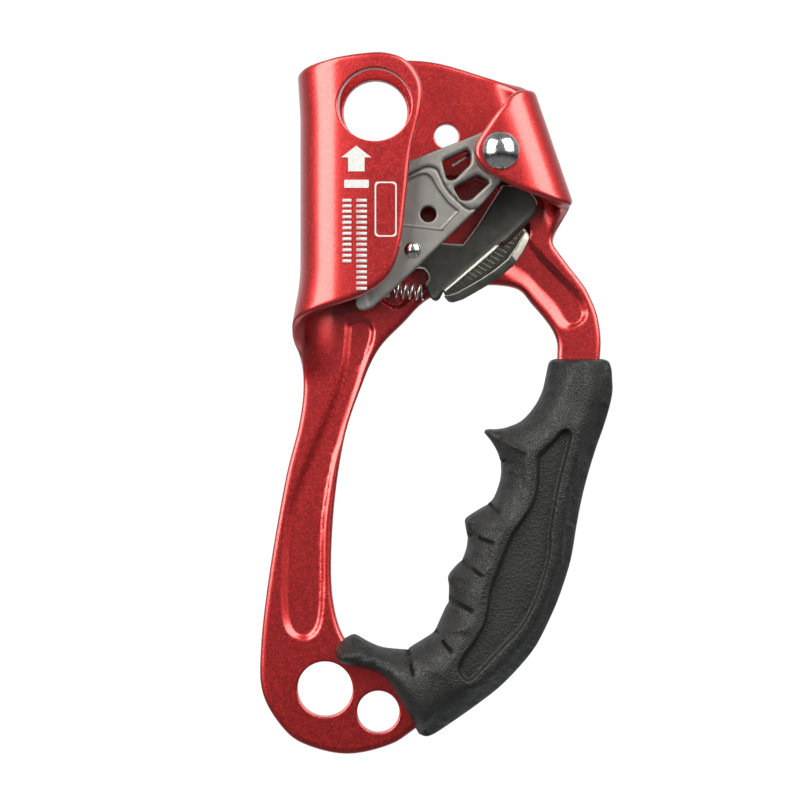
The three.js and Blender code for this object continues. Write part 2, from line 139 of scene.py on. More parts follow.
def hump(x, middle, width):
    """A smooth hump of height 1 round x = middle."""
    return np.exp(-((x - middle) / width) ** 2)


def bulge(share):
    """A quarter circle that rises from 0 to 1, and stays there."""
    return np.sqrt(1 - (1 - ramp(share, 1)) ** 2)


def around(sides):
    """Cosine and sine of evenly spaced angles."""
    angles = [2 * math.pi * k / sides for k in range(sides)]
    return [(math.cos(angle), math.sin(angle)) for angle in angles]


def beside(curve, t, step, w):
    """Points at the distance w beside the places t on a curve, its direction taken over `step` each way."""
    x, y = curve(t)
    x0, y0 = curve(t - step)
    x1, y1 = curve(t + step)
    length = np.hypot(x1 - x0, y1 - y0)
    return x + w * (y1 - y0) / length, y - w * (x1 - x0) / length


# ---- flat triangulation with rounded edges ----

def inside(points, loop):
    """Which points a closed loop encloses."""
    x, y = points[:, 0], points[:, 1]
    result = np.zeros(len(points), bool)
    following = np.roll(loop, -1, axis=0)
    for (x0, y0), (x1, y1) in zip(loop, following):
        if y0 == y1:
            continue
        crosses = (y0 > y) != (y1 > y)
        result ^= crosses & (x < (x1 - x0) * (y - y0) / (y1 - y0) + x0)
    return result


def within(points, loops):
    """Which points lie inside loops[0] and outside the others."""
    result = inside(points, loops[0])
    for loop in loops[1:]:
        result &= ~inside(points, loop)
    return result


def finder(vertices):
    """A search tree over flat points."""
    tree = kdtree.KDTree(len(vertices))
    for i, (x, y) in enumerate(vertices):
        tree.insert((x, y, 0), i)
    tree.balance()
    return tree


def distance(points, loops):
    """Distance from each point to the nearest loop, and that loop's number."""
    vertices = np.vstack(loops)
    owner = np.concatenate([np.full(len(loop), i) for i, loop in enumerate(loops)])
    tree = finder(vertices)
    nearest = np.array([tree.find((x, y, 0))[1] for x, y in points])
    found = np.full(len(points), np.inf)
    a = vertices[nearest]
    for step in (1, -1):
        neighbours = np.vstack([np.roll(loop, step, axis=0) for loop in loops])
        along = neighbours[nearest] - a
        t = np.clip(np.sum((points - a) * along, axis=1) / np.sum(along ** 2, axis=1), 0, 1)
        found = np.minimum(found, np.linalg.norm(points - a - along * t[:, None], axis=1))
    return found, owner[nearest]


def signed(points, loop):
    """Distance to a loop, negative inside it."""
    away, _ = distance(points, [loop])
    return np.where(inside(points, loop), -away, away)


def inset_points(loop, depth):
    """Points a little inside (or outside) a loop, both ways: the caller keeps the useful ones."""
    along = np.roll(loop, -1, axis=0) - np.roll(loop, 1, axis=0)
    along /= np.linalg.norm(along, axis=1)[:, None]
    normal = np.column_stack([-along[:, 1], along[:, 0]])
    return np.vstack([loop + normal * depth, loop - normal * depth])


def distance_to_runs(points, runs):
    """Distance from each point to the nearest of some open runs of points."""
    tree = finder(np.vstack(runs))
    return np.array([tree.find((x, y, 0))[2] for x, y in points])


def lattice(x_span, y_span, spacing, stagger=0.0):
    """Points of a square grid, with every second row moved by `stagger`."""
    grid = np.stack(np.meshgrid(np.arange(*x_span, spacing), np.arange(*y_span, spacing)), -1)
    grid[1::2, :, 0] += stagger
    return grid.reshape(-1, 2)


# Each edge has rings of points at these shares of its rounding's radius.
RING_SHARES = (0.06, 0.23, 0.5, 1.0, 1.6)


def clear_of_rings(points, loops, radii, gap):
    """The points that lie further in than every ring."""
    away, owner = distance(points, loops)
    return points[away > RING_SHARES[-1] * np.array(radii)[owner] + gap]


def triangulate(loops, radii, spacing, fine=None):
    """Points and triangles that fill loops[0] less the others, with rings of points along each edge."""
    inner = []
    for loop, radius in zip(loops, radii):
        for share in RING_SHARES:
            ring = inset_points(loop, share * radius)
            away, _ = distance(ring, loops)
            inner.append(ring[away > share * radius * 0.97])
    low, high = loops[0].min(axis=0), loops[0].max(axis=0)
    grid = lattice((low[0], high[0]), (low[1], high[1]), spacing, spacing / 2)
    grid = clear_of_rings(grid, loops, radii, spacing * 0.4)
    if fine is not None:
        fine = clear_of_rings(fine, loops, radii, 0.3)
        grid = grid[distance_to_runs(grid, [fine]) > 0.12]
        inner.insert(0, fine)
    inner = np.vstack([grid] + inner)
    points = [Vector(p) for p in np.vstack(loops + [inner[within(inner, loops)]])]
    edges = []
    start = 0
    for loop in loops:
        edges += [(start + i, start + (i + 1) % len(loop)) for i in range(len(loop))]
        start += len(loop)
    made, _, faces, *_ = delaunay_2d_cdt(points, edges, [], 0, 1e-4, False)
    flat = np.array([(v.x, v.y) for v in made])
    triangles = np.array([f for f in faces if len(f) == 3])
    return flat, triangles[within(flat[triangles].mean(axis=1), loops)]


def edge_round(away, half, radius):
    """Height of a flat face of half thickness `half` whose edge is rounded by `radius`."""
    return half - radius + radius * bulge(away / radius)


def border(triangles):
    """Edges that only one triangle has, in that triangle's direction."""
    edges = [edge for a, b, c in triangles.tolist() for edge in ((a, b), (b, c), (c, a))]
    known = set(edges)
    return [(a, b) for a, b in edges if (b, a) not in known]


def placed(name, data, at=(0, 0, 0)):
    """A new object in the scene."""
    made = bpy.data.objects.new(name, data)
    made.location = at
    bpy.context.collection.objects.link(made)
    return made


def new_object(name, vertices_mm, faces, attributes=None):
    """A smooth piece from points in millimetres, with numbers at each point for its material."""
    mesh = bpy.data.meshes.new(name)
    vertices = [tuple(v) for v in np.asarray(vertices_mm) * MM]
    mesh.from_pydata(vertices, [], [tuple(map(int, face)) for face in faces])
    for key, values in (attributes or {}).items():
        layer = mesh.attributes.new(key, "FLOAT", "POINT")
        layer.data.foreach_set("value", np.asarray(values, np.float32))
    work = bmesh.new()
    work.from_mesh(mesh)
    loose = [v for v in work.verts if not v.link_faces]
    bmesh.ops.delete(work, geom=loose, context="VERTS")
    bmesh.ops.recalc_face_normals(work, faces=work.faces)
    work.to_mesh(mesh)
    work.free()
    mesh.shade_smooth()
    return placed(name, mesh)


def thick_piece(name, flat, triangles, upper, lower, place, attributes=None):
    """A closed piece from a flat triangulation: place(u, v, w) puts w above or below mid thickness."""
    top = place(flat[:, 0], flat[:, 1], upper)
    bottom = place(flat[:, 0], flat[:, 1], -lower)
    count = len(flat)
    faces = [(a, b, c) for a, b, c in triangles]
    faces += [(c + count, b + count, a + count) for a, b, c in triangles]
    faces += [(b, a, a + count, b + count) for a, b in border(triangles)]
    both = {key: np.concatenate([values, values]) for key, values in (attributes or {}).items()}
    return new_object(name, np.vstack([top, bottom]), faces, both)


def upright(middle):
    """Places a flat piece so that its mid thickness is at Y = middle."""
    return lambda u, v, w: np.column_stack([u, middle + w, v])


def ring_faces(first, second, sides):
    """Four-sided faces between two rings of points, each given by the number of its first point."""
    return [(first + k, first + (k + 1) % sides, second + (k + 1) % sides, second + k) for k in range(sides)]


def dress(piece, look, *nodes):
    """Gives a piece its material, and hides the CAD nodes that it replaces."""
    slot, material = look
    piece.data.materials.append(material)
    if nodes:
        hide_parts(*nodes)


def finish_piece(piece, body, look, *nodes):
    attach(piece, body)
    dress(piece, look, *nodes)


# ---- materials ----

class Nodes:
    """A small helper that builds a node tree."""

    def __init__(self, tree):
        self.tree = tree

    def fill(self, node, sockets):
        """Links each named socket to another node's output, or gives it a constant."""
        for key, value in sockets.items():
            if isinstance(value, bpy.types.NodeSocket):
                self.tree.links.new(value, node.inputs[key])
            else:
                node.inputs[key].default_value = value

    def add(self, kind, sockets=None, **settings):
        node = self.tree.nodes.new(kind)
        for key, value in settings.items():
            setattr(node, key, value)
        self.fill(node, sockets or {})
        return node

    def spread(self, value, low, high, least, most, shape="SMOOTHSTEP"):
        """The value, stretched from low...high to least...most."""
        sockets = {"Value": value, "From Min": low, "From Max": high, "To Min": least, "To Max": most}
        return self.add("ShaderNodeMapRange", sockets, interpolation_type=shape).outputs["Result"]

    def maths(self, operation, *values):
        return self.add("ShaderNodeMath", dict(enumerate(values)), operation=operation).outputs[0]


class Material(Nodes):
    """A material's nodes, in object coordinates."""

    def __init__(self, name):
        self.material = bpy.data.materials.new(name)
        self.material.use_nodes = True
        super().__init__(self.material.node_tree)
        self.where = self.add("ShaderNodeTexCoord").outputs["Object"]

    def noise(self, scale, detail, roughness=0.5):
        sockets = {"Vector": self.where, "Scale": scale, "Detail": detail, "Roughness": roughness}
        return self.add("ShaderNodeTexNoise", sockets).outputs["Fac"]

    def uneven(self, scale, detail, least=0, most=1):
        """Noise that runs from least to most."""
        return self.spread(self.noise(scale, detail), 0.3, 0.7, least, most)

    def pebbles(self, scale):
        """Rounded cells, 1 at their middles and 0 between them."""
        node = self.add("ShaderNodeTexVoronoi", {"Vector": self.where, "Scale": scale}, feature="SMOOTH_F1")
        return self.spread(node.outputs["Distance"], 0.05, 0.6, 1, 0)

    def attribute(self, name):
        return self.add("ShaderNodeAttribute", attribute_name=name).outputs["Fac"]

    def blend(self, amount, first, second):
        """A mix of two colours: sockets 6 and 7 and output 2 are the node's colour ones."""
        return self.add("ShaderNodeMix", {0: amount, 6: first, 7: second}, data_type="RGBA").outputs[2]

    def bump(self, height, strength, depth):
        sockets = {"Height": height, "Strength": strength, "Distance": depth}
        return self.add("ShaderNodeBump", sockets).outputs["Normal"]

    def finish(self, **sockets):
        """The material, with these sockets of its shader filled in."""
        shader = self.tree.nodes["Principled BSDF"]
        self.fill(shader, {key.replace("_", " "): value for key, value in sockets.items()})
        return self.material


def red_anodised():
    """Satin red anodising: a fine sparkle, cloudy tone, and a lighter red at the edges."""
    m = Material("red_anodised")
    body = m.blend(m.uneven(45, 4), (0.42, 0.0155, 0.021, 1), (0.455, 0.018, 0.024, 1))
    sparkle = m.spread(m.noise(2300, 2, 0.7), 0.47, 0.68, 0, 1)
    grained = m.blend(sparkle, body, (0.62, 0.048, 0.046, 1))
    edges = m.spread(m.attribute("edge"), 0.45, 1.0, 0, 0.4)
    return m.finish(Metallic=1.0, Coat_Weight=1.0, Coat_IOR=1.6, Coat_Roughness=0.22,
                    Base_Color=m.blend(edges, grained, (0.80, 0.15, 0.14, 1)),
                    Roughness=m.uneven(900, 3, 0.39, 0.46),
                    Normal=m.bump(m.noise(2300, 2, 0.6), 0.16, 0.00005))


def black_rubber():
    """Moulded rubber: leather-like pebbles, deeper in the inlay panel, and painted shade in the slits and
    along the panel's border.
    """
    m = Material("black_rubber")
    body = m.blend(m.uneven(120, 4), (0.005, 0.005, 0.005, 1), (0.009, 0.009, 0.0088, 1))
    # The "slit" attribute is painted shade: it darkens the colour in the slits and inside the panel's
    # border.
    slit = m.attribute("slit")
    panel = m.attribute("panel")
    rough = m.maths("ADD", m.uneven(700, 3, 0.42, 0.56), m.maths("MULTIPLY", panel, 0.09))
    coarse = m.maths("MULTIPLY", m.pebbles(1500), m.maths("MULTIPLY", panel, 0.62))
    fine = m.maths("MULTIPLY", m.pebbles(2300), 0.55)
    fine = m.maths("ADD", fine, m.maths("MULTIPLY", m.noise(1100, 3, 0.6), 0.35))
    fine = m.maths("MULTIPLY", fine, m.maths("SUBTRACT", 1.1, panel))
    return m.finish(Specular_IOR_Level=0.42, Specular_Tint=(0.86, 0.93, 1.0, 1),
                    Base_Color=m.blend(slit, body, (0.0005, 0.0005, 0.0005, 1)),
                    Roughness=m.maths("ADD", rough, m.maths("MULTIPLY", slit, 0.4)),
                    Normal=m.bump(m.maths("ADD", coarse, fine), 0.9, 0.0002))


def cast_metal():
    """Grey blasted casting with a fine matte skin, and painted shade darkening its grooves and the panel's
    step.
    """
    m = Material("cast_metal")
    body = m.blend(m.uneven(160, 5), (0.180, 0.182, 0.186, 1), (0.215, 0.217, 0.221, 1))
    # Painted shade: the "groove" attribute darkens the colour in the grooves and at the panel's step.
    groove_shade = m.spread(m.attribute("groove"), 0.15, 0.75, 0, 0.92)
    return m.finish(Metallic=0.75, Base_Color=m.blend(groove_shade, body, (0.022, 0.022, 0.020, 1)),
                    Roughness=m.uneven(500, 3, 0.48, 0.60),
                    Normal=m.bump(m.noise(2400, 3, 0.6), 0.35, 0.00008))


def blackened_steel():
    """Blackened sheet steel, with painted highlights lightening its cut edges, bend line and tab rim, and
    lighter knurl dots; its bare cut end is paler metal.
    """
    m = Material("blackened_steel")
    body = m.blend(m.uneven(200, 5), (0.040, 0.042, 0.040, 1), (0.058, 0.060, 0.057, 1))
    # Painted highlights: the "edge" attribute lightens the colour where highlights fall.
    painted_highlights = m.blend(m.spread(m.attribute("edge"), 0.3, 0.8, 0, 1), body, (0.80, 0.80, 0.78, 1))
    return m.finish(Metallic=0.65, Base_Color=m.blend(m.attribute("bare"), painted_highlights, (0.50, 0.50, 0.46, 1)),
                    Roughness=m.uneven(600, 3, 0.38, 0.52),
                    Normal=m.bump(m.noise(2800, 3, 0.6), 0.3, 0.00006))


def polished_steel():
    """Polished rivet steel with a faint mottle."""
    m = Material("polished_steel")
    tone = m.spread(m.noise(900, 3), 0.35, 0.65, 0, 1)
    return m.finish(Metallic=1.0, Base_Color=m.blend(tone, (0.62, 0.63, 0.63, 1), (0.78, 0.78, 0.77, 1)),
                    Roughness=m.uneven(700, 4, 0.10, 0.20),
                    Normal=m.bump(m.noise(1500, 3), 0.12, 0.00004))


def spring_steel():
    """Drawn spring wire, a little mottled."""
    m = Material("spring_steel")
    colour = m.blend(m.uneven(1500, 3), (0.60, 0.60, 0.60, 1), (0.74, 0.74, 0.73, 1))
    return m.finish(Metallic=1.0, Base_Color=colour, Roughness=m.uneven(1800, 3, 0.26, 0.36),
                    Normal=m.bump(m.noise(3000, 2), 0.15, 0.00003))


def print_ink():
    """Thin pale marking ink, a little uneven."""
    m = Material("print_ink")
    tone = m.spread(m.noise(2200, 3), 0.35, 0.65, 0, 1)
    return m.finish(Base_Color=m.blend(tone, (0.36, 0.37, 0.40, 1), (0.42, 0.43, 0.46, 1)),
                    Roughness=m.uneven(1500, 2, 0.5, 0.65), Normal=m.bump(m.noise(3000, 2), 0.2, 0.00003))


def pale_floor():
    m = Material("pale_floor")
    colour = m.blend(m.uneven(3, 3), (0.90, 0.90, 0.90, 1), (0.93, 0.93, 0.93, 1))
    return m.finish(Base_Color=colour, Roughness=0.9, Emission_Color=(1, 1, 1, 1), Emission_Strength=0.3)


# Each look is a slot's name and the material that fills it.
RED = "red_anodised", red_anodised()
RUBBER = "black_rubber", black_rubber()
CAST = "cast_steel", cast_metal()
BLACK_STEEL = "dark_steel", blackened_steel()
POLISHED = "polished_steel", polished_steel()
WIRE = "spring_steel", spring_steel()
INK = "red_anodised", print_ink()


# ---- frame: one folded sheet, drawn flat and then bent ----

FOLD_LENGTH = math.pi * SHEET_MID
EAR_TANGENT = EAR_WALL - EAR_BEND
BEND_LENGTH = EAR_BEND * math.pi / 2
WALL_LENGTH = 2 * (SHEET_MID - EAR_BEND)
EAR_LENGTH = 2 * BEND_LENGTH + WALL_LENGTH
# The ear's strip: distance from its first bend line, and height along the fold.
EAR_TOP = [
    (0, 21.5), (5.6, 17.4), (11, 13.9), (16, 13.2), (19.5, 13.7), (22.5, 14.2), (25, 13.7), (27, 12.5),
]
EAR_BOTTOM = [
    (27, -15), (23.3, -18), (20, -19.6), (16, -19.8), (11, -19.9), (9, -20.4), (7, -21.5), (5.1, -22.8),
    (2.6, -25.1), (1.3, -27.3),
]
# The bends of the ear grow from nothing to full between these heights.
EAR_START = (-29.8, -26.2)
# How far a gently begun bend sinks below a circle.
BEND_EASE = 0.95
# The channel's fold: distance from its bend line, and height.
FOLD_TOP = [(26.7, 25.1), (21.3, 23.8), (14.9, 22.3), (8, 23.2), (0, 25.6)]
FOLD_BOTTOM = [
    (12.2, -56), (14.5, -51.8), (17.1, -47.3), (20.9, -45), (24.1, -43.6), (27.7, -42.3),
    (FOLD_LENGTH, -41.6),
]
FOLD_ENDS = -64


def ear_point(n, e):
    """X and Z of ear coordinates: n from the axle towards the side wall, e up along the fold."""
    return (AXLE[0] + n * EAR_COS - e * EAR_SIN, n * EAR_SIN + e * EAR_COS)


def ear_coordinates(x, z):
    return (x - AXLE[0]) * EAR_COS + z * EAR_SIN, -(x - AXLE[0]) * EAR_SIN + z * EAR_COS


def flat_flap(x, z):
    """Where a point of the front flap lies in the flat pattern."""
    return (2 * CHANNEL_X - FOLD_LENGTH - x, z)


def flat_ear(x, z):
    """Where a point of the front ear lies in the flat pattern."""
    n, e = ear_coordinates(x, z)
    return ear_point(2 * EAR_TANGENT + EAR_LENGTH - n, e)


def eased(s):
    """How far the sheet has sunk at s along a bend that begins more gently than a circle."""
    return BEND_EASE * smoothstep(s, 0, 5.5) * (1 - smoothstep(s, 6.5, 14.5))


def bend_frame(u, v, w):
    """Bend the flat pattern: w is the height above mid sheet, out of the back of the plate."""
    x, y, z = u.copy(), SHEET_MID + w, v.copy()
    t = CHANNEL_X - u
    fold = (t > 0) & (v > FOLD_ENDS)
    x[fold], y[fold] = beside(lambda s: channel_mid(s, v[fold]), t[fold], 0.05, w[fold])
    n, e = ear_coordinates(u, v)
    ear = (n > EAR_TANGENT) & (e > EAR_START[0])
    tn = n[ear] - EAR_TANGENT
    back = np.clip(tn, 0, BEND_LENGTH) / EAR_BEND
    front = np.clip(tn - BEND_LENGTH - WALL_LENGTH, 0, BEND_LENGTH) / EAR_BEND
    wall = np.clip(tn - BEND_LENGTH, 0, WALL_LENGTH)
    past = np.clip(tn - EAR_LENGTH, 0, None)
    angle = back + front
    n_bent = EAR_TANGENT + (EAR_BEND + w[ear]) * np.sin(angle) - past
    begun = smoothstep(e[ear], *EAR_START)
    n_bent = n[ear] + (n_bent - n[ear]) * begun
    x[ear], z[ear] = ear_point(n_bent, e[ear])
    y_bent = SHEET_MID - EAR_BEND - wall + (EAR_BEND + w[ear]) * np.cos(angle)
    y[ear] += (y_bent - y[ear]) * begun
    y += eased(n - EAR_TANGENT - BEND_LENGTH - WALL_LENGTH)
    y -= eased(EAR_TANGENT + BEND_LENGTH - n) * smoothstep(e, 8, 13)
    return np.column_stack([x, y, z])


FLAP_EASE = 1.1


def channel_mid(t, z):
    """X and Y of mid sheet in the channel: half a circle that flares at both ends and opens out below."""
    angle = np.clip(t, 0, FOLD_LENGTH) / SHEET_MID
    past = np.clip(t - FOLD_LENGTH, 0, None)
    flare = 1 + 0.12 * smoothstep(-z, 30, 47) + 0.08 * hump(z, -46, 6)
    flare = flare + 0.08 * smoothstep(z, 8, 25)
    x = CHANNEL_X - SHEET_MID * flare * np.sin(angle) + past
    y = SHEET_MID * np.cos(angle)
    y += FLAP_EASE * np.clip(-np.cos(angle), 0, 1) * (1 - smoothstep(x, -6, 11))
    opened = smoothstep(-z, 43, -FOLD_ENDS)
    return x + (CHANNEL_X - t - x) * opened, y + (SHEET_MID - y) * opened


def frame_outline(spacing):
    """The flat pattern's edge, clockwise from the top of the plate."""
    top = [(CHANNEL_X, 25.6), (10, 27.4), (20.4, 27.7), (30, 26.6)]
    ear_top = [ear_point(EAR_TANGENT + t, e) for t, e in EAR_TOP]
    ear_front = [ear_point(EAR_TANGENT + EAR_LENGTH, 12.5)]
    ear_front += [flat_ear(*p) for p in ((42.6, 7.9), (38.5, 0.6), (41.2, -5), (50.6, -10.4))]
    ear_front += [ear_point(EAR_TANGENT + EAR_LENGTH, -15)]
    ear_bottom = [ear_point(EAR_TANGENT + t, e) for t, e in EAR_BOTTOM]
    strap = [(61.7, -24.8), (63.3, -27.1), (66, -30.7), (68.9, -34.4), (71.3, -38.2), (74, -45.5)]
    in_grip = [(74.5, -55.4), (71.5, -72), (65.8, -92), (62.3, -112), (55, -130.5), (42, -146),
               (22.7, -160.4)]
    foot = [(15, -165.2), (3.6, -167.7), (-7.2, -165.6), (-14.3, -161.1), (-20.5, -150.8), (-21.1, -137.8)]
    limb = [(-18.7, -116.6), (-14.2, -90.5), (-10.4, -75), (-9.1, FOLD_ENDS)]
    fold_bottom = [(CHANNEL_X - t, z) for t, z in FOLD_BOTTOM]
    flap = [(8.8, -38.9), (14.9, -33.9), (18.2, -25.6), (19.9, -11.7), (21.3, 0.5), (23.8, 11.7),
            (23.8, 18.9), (19.9, 24.7), (14, 26.9), (7.6, 26.7), (CHANNEL_X, 25.9)]
    flap = [flat_flap(x, z) for x, z in flap]
    fold_top = [(CHANNEL_X - t, z) for t, z in FOLD_TOP]
    smooth = ear_bottom + strap + in_grip + foot + limb + fold_bottom + flap + fold_top
    return chain([top + ear_top, ear_front, smooth], spacing)


HANDLE_OPENING = [
    (62.4, -56.1), (61.5, -49.1), (55.4, -41.1), (50.2, -36.4), (38, -35.9), (26.4, -39.4), (18.9, -46.4),
    (12, -53.8), (7.3, -63.9), (2.3, -79.3), (-0.8, -101.8), (-0.8, -124.3), (4.5, -137.8), (17, -142.3),
    (29, -137.5), (37.5, -125), (43, -109), (50, -96), (53.2, -81.5), (60.5, -69),
]
STRAP_FLOOR = [
    (44, -25), (48, -28.4), (51, -30.3), (54.05, -32.3), (56.85, -35.35), (60.2, -38.7), (62.4, -41.2),
    (63.8, -43.7), (65.2, -45.8), (66.9, -46.5), (68.55, -45.7), (69.25, -44), (68.8, -42.05), (67.7, -39.5),
    (65.5, -36.8), (63, -34.25), (60.2, -31.2), (57.4, -28.4), (54.6, -24.8), (50, -20), (46, -20),
]
STRAP_RIM = [
    (41, -27.5), (44.5, -30.4), (47.65, -32.85), (50.7, -35.1), (53.2, -37.3), (56, -40.4), (59.1, -43.7),
    (61.35, -46.2), (63, -47.8), (65.25, -48.3), (67.7, -47.5), (69.8, -46.2), (71.05, -44), (70.6, -41.2),
    (69.1, -38.4), (66.3, -35.35), (63, -32), (59.9, -28.95), (56.8, -25.3), (51, -18), (45, -18),
]
LIMB_FLOOR = [
    (6, -45.8), (8.4, -46.5), (9.7, -48.2), (9.6, -50.5), (8.6, -54), (7.4, -58.5), (5.8, -64), (4, -70.5),
    (1.5, -78), (-1.3, -86.5), (-3.9, -102), (-4.3, -122), (-5.2, -130.5), (-7.4, -133.8), (-10, -134),
    (-11.9, -132.4), (-13, -129.2), (-13.3, -123.3), (-13.1, -115.4), (-12.7, -107), (-11.4, -98),
    (-8.6, -90), (-5, -81.5), (-1.6, -73.5), (1.4, -65.5), (3.6, -57.5), (4.3, -50), (4.6, -47),
]
LIMB_RIM = [
    (6, -44.5), (9.1, -45.3), (10.9, -47.8), (10.8, -50.8), (9.8, -54.4), (8.5, -58.9), (6.9, -64.4),
    (5.1, -70.9), (2.6, -78.4), (-0.3, -86.8), (-2.9, -102.2), (-3.3, -122.2), (-4.2, -131.3), (-7, -135.2),
    (-10.8, -135.3), (-13.6, -133.6), (-15.1, -129.6), (-15.6, -123.3), (-15.4, -115.4), (-14.9, -107),
    (-13.5, -98), (-10.7, -89.5), (-7.1, -81), (-3.7, -73), (-0.6, -65), (1.7, -57), (2.5, -50), (3, -46),
]
HEAD_FLOOR = [
    (12.5, -38), (13.2, -39.4), (15.4, -41), (17.1, -41.6), (18.4, -41.2), (21, -38.7), (24, -36.4),
    (30, -33.5), (36, -31), (44, -28.5), (50, -25.5), (54, -21), (50, -14), (40, -7), (26, -6), (15, -9),
    (9, -20), (9.5, -32),
]
HEAD_SLOPE = 0.8
RECESS_DEPTH = 1.1
OUTER_ROUNDING = 1.2
OPENING_ROUNDING = 1.4
# Centre, radius, spacing of points and rounding of each hole in the flat pattern.
FRAME_HOLES = [
    (flat_flap(11.2, 12.6), 10, 0.6, 0.35),
    ((11.2, 13), 9, 0.6, 0.45),
    ((31.2, 6.3), 3.45, 0.4, 0.35),
    ((-3, -149.4), 7.8, 0.5, 0.4),
    ((12, -155.8), 5.95, 0.5, 0.4),
    (AXLE, AXLE_BORE, 0.5, 0.3),
    (flat_ear(*AXLE), AXLE_BORE, 0.5, 0.3),
]


def recess(points, floor, rim=None):
    """How far each point has sunk, from 0 at the rim to 1 on the floor. Without a rim the slope is even."""
    to_floor = signed(points, floor)
    if rim is None:
        return 1 - ramp(to_floor, HEAD_SLOPE)
    to_rim = -signed(points, rim)
    share = np.clip(to_rim / np.maximum(to_rim + to_floor, 1e-6), 0, 1)
    share = np.where(to_floor < 0, 1, np.where(to_rim < 0, 0, share))
    return 0.7 * share + 0.3 * share ** 2 * (3 - 2 * share)


def build_frame():
    loops = [frame_outline(0.8), closed(HANDLE_OPENING, 0.8)]
    loops += [circle(centre, radius, spacing) for centre, radius, spacing, _ in FRAME_HOLES]
    radii = [OUTER_ROUNDING, OPENING_ROUNDING] + [hole[-1] for hole in FRAME_HOLES]
    strap = closed(STRAP_FLOOR, 1.0), closed(STRAP_RIM, 1.0)
    limb = closed(LIMB_FLOOR, 1.0), closed(LIMB_RIM, 1.0)
    head = closed(HEAD_FLOOR, 1.0)
    fine = lattice((-20, 76), (-140, 0), 0.5)
    near = distance(fine, [head])[0] < 1.4
    for floor, rim in (strap, limb):
        near |= (signed(fine, rim) < 0.8) & (signed(fine, floor) > -0.8)
    flat, triangles = triangulate(loops, radii, 1.35, fine[near])
    away, owner = distance(flat, loops)
    rounding = np.array(radii)[owner]
    upper = edge_round(away, SHEET / 2, rounding)
    sunk = np.max([recess(flat, *strap), recess(flat, *limb), recess(flat, head)], axis=0)
    lower = upper - RECESS_DEPTH * sunk * ramp(away, OUTER_ROUNDING)
    edge = 1 - ramp(away, rounding * 1.1)
    piece = thick_piece("frame_sheet", flat, triangles, upper, lower, bend_frame, {"edge": edge})
    finish_piece(piece, "frame", RED, "frame")


build_frame()


# ---- grip ----

GRIP_TOP = [(61.9, -56.4), (75.2, -56.4)]
GRIP_OUTER = [
    (75.2, -56.4), (76.9, -57.1), (77.7, -59.2), (77.9, -61.5), (78, -65.5), (77.2, -69.8), (75.5, -75.5),
    (73.3, -81.7), (71.1, -88.9), (69.3, -96), (67.9, -103.3), (66.2, -113.1), (63.2, -122.7),
    (60.4, -129.4), (56.6, -136.9), (52.4, -142.4), (46.6, -148.4), (40.7, -153.1), (32.8, -158.7),
    (26.5, -162.6), (23.4, -162.2),
]
GRIP_FOOT = [
    (23.4, -162.2), (19.8, -154.9), (17, -150.2), (14.2, -146.2), (11.1, -144.2), (7.1, -142.8),
    (3.2, -142.3), (0.4, -140.8), (0.2, -137.2), (3.5, -134.6),
]
# The finger side: smooth runs that meet at corners.
GRIP_INNER = [
    [(3.5, -134.6), (5.5, -134.1), (9.1, -136.1), (13, -137.7), (17.8, -138.3), (20.3, -138.4)],
    [(20.3, -138.4), (21, -137.7), (24.9, -135.3), (27.5, -133.5), (28.6, -131.6)],
    [(28.6, -131.6), (30.7, -126.9), (31.8, -125)],
    [(31.8, -125), (31.9, -120.5), (31.7, -117.6), (33.9, -114.7), (35.6, -113.2)],
    [(35.6, -113.2), (36.8, -109.8), (37.2, -106.8)],
    [(37.2, -106.8), (36.4, -102.5), (36.9, -101.1), (40.2, -98.9), (42.7, -97.5)],
    [(42.7, -97.5), (44.6, -95.4), (46.1, -91.4), (46.6, -88.4), (46.5, -85.3)],
    [(46.5, -85.3), (45.4, -82.3), (43.8, -79.6), (41.9, -77.3)],
    [(41.9, -77.3), (42.0, -76.6), (42.9, -76.2), (44.9, -76.2), (48.1, -75.7), (52.4, -73.8), (56, -69.8),
     (58.2, -65.5), (59.3, -60.9), (60.2, -57.3), (61.9, -56.4)],
]
PANEL = [
    (63.4, -76.4), (65.2, -77.4), (64.8, -80.7), (62.3, -90.2), (60.9, -97.2), (59.8, -104.3),
    (59.2, -112.2), (55.8, -123.1), (51.9, -130.4), (47.3, -135.5), (42.2, -140.9), (38, -145.2),
    (36, -145.1), (34.2, -142.5), (35.3, -139.4), (38.7, -134.7), (41.5, -129.7), (42.6, -123.9),
    (43.4, -119.2), (46.1, -112.2), (48.9, -105.4), (51.7, -101.5), (54.5, -97.2), (55.9, -93),
    (56.1, -88.4), (55.9, -84.6), (57, -82.4), (59.8, -80),
]
SLITS = [
    ((42.0, -96.0), (45.5, -99.2)), ((36.2, -105.3), (43.6, -107.6)), ((34.4, -112.1), (40.5, -116.6)),
    ((31.0, -123.0), (37.9, -126.5)), ((26.7, -131.3), (32.2, -137.6)), ((19.7, -135.6), (21.7, -144.2)),
    ((45.9, -84.4), (48.8, -85.7)),
]
KNUCKLES = [
    ((37.5, -101.9), (46, -102.5)), ((32.8, -117.9), (42, -115.5)), ((29, -132.3), (37, -131)),
    ((21.5, -139.3), (27.5, -143)),
]
CREST = ((43.6, -78.0), (52.4, -82.2))
GRIP_ROUNDING = 1.6
PANEL_DEPTH = 2.0
SLIT_WIDTH = 0.35
SLIT_DEPTH = 1.2
KNUCKLE_HEIGHT = 0.8
CREST_HEIGHT = 1.1


def to_segment(points, a, b):
    """Distance from each point to a straight line between two others."""
    a, b = np.array(a), np.array(b)
    t = np.clip((points - a) @ (b - a) / ((b - a) @ (b - a)), 0, 1)
    return np.linalg.norm(points - a - t[:, None] * (b - a), axis=1)


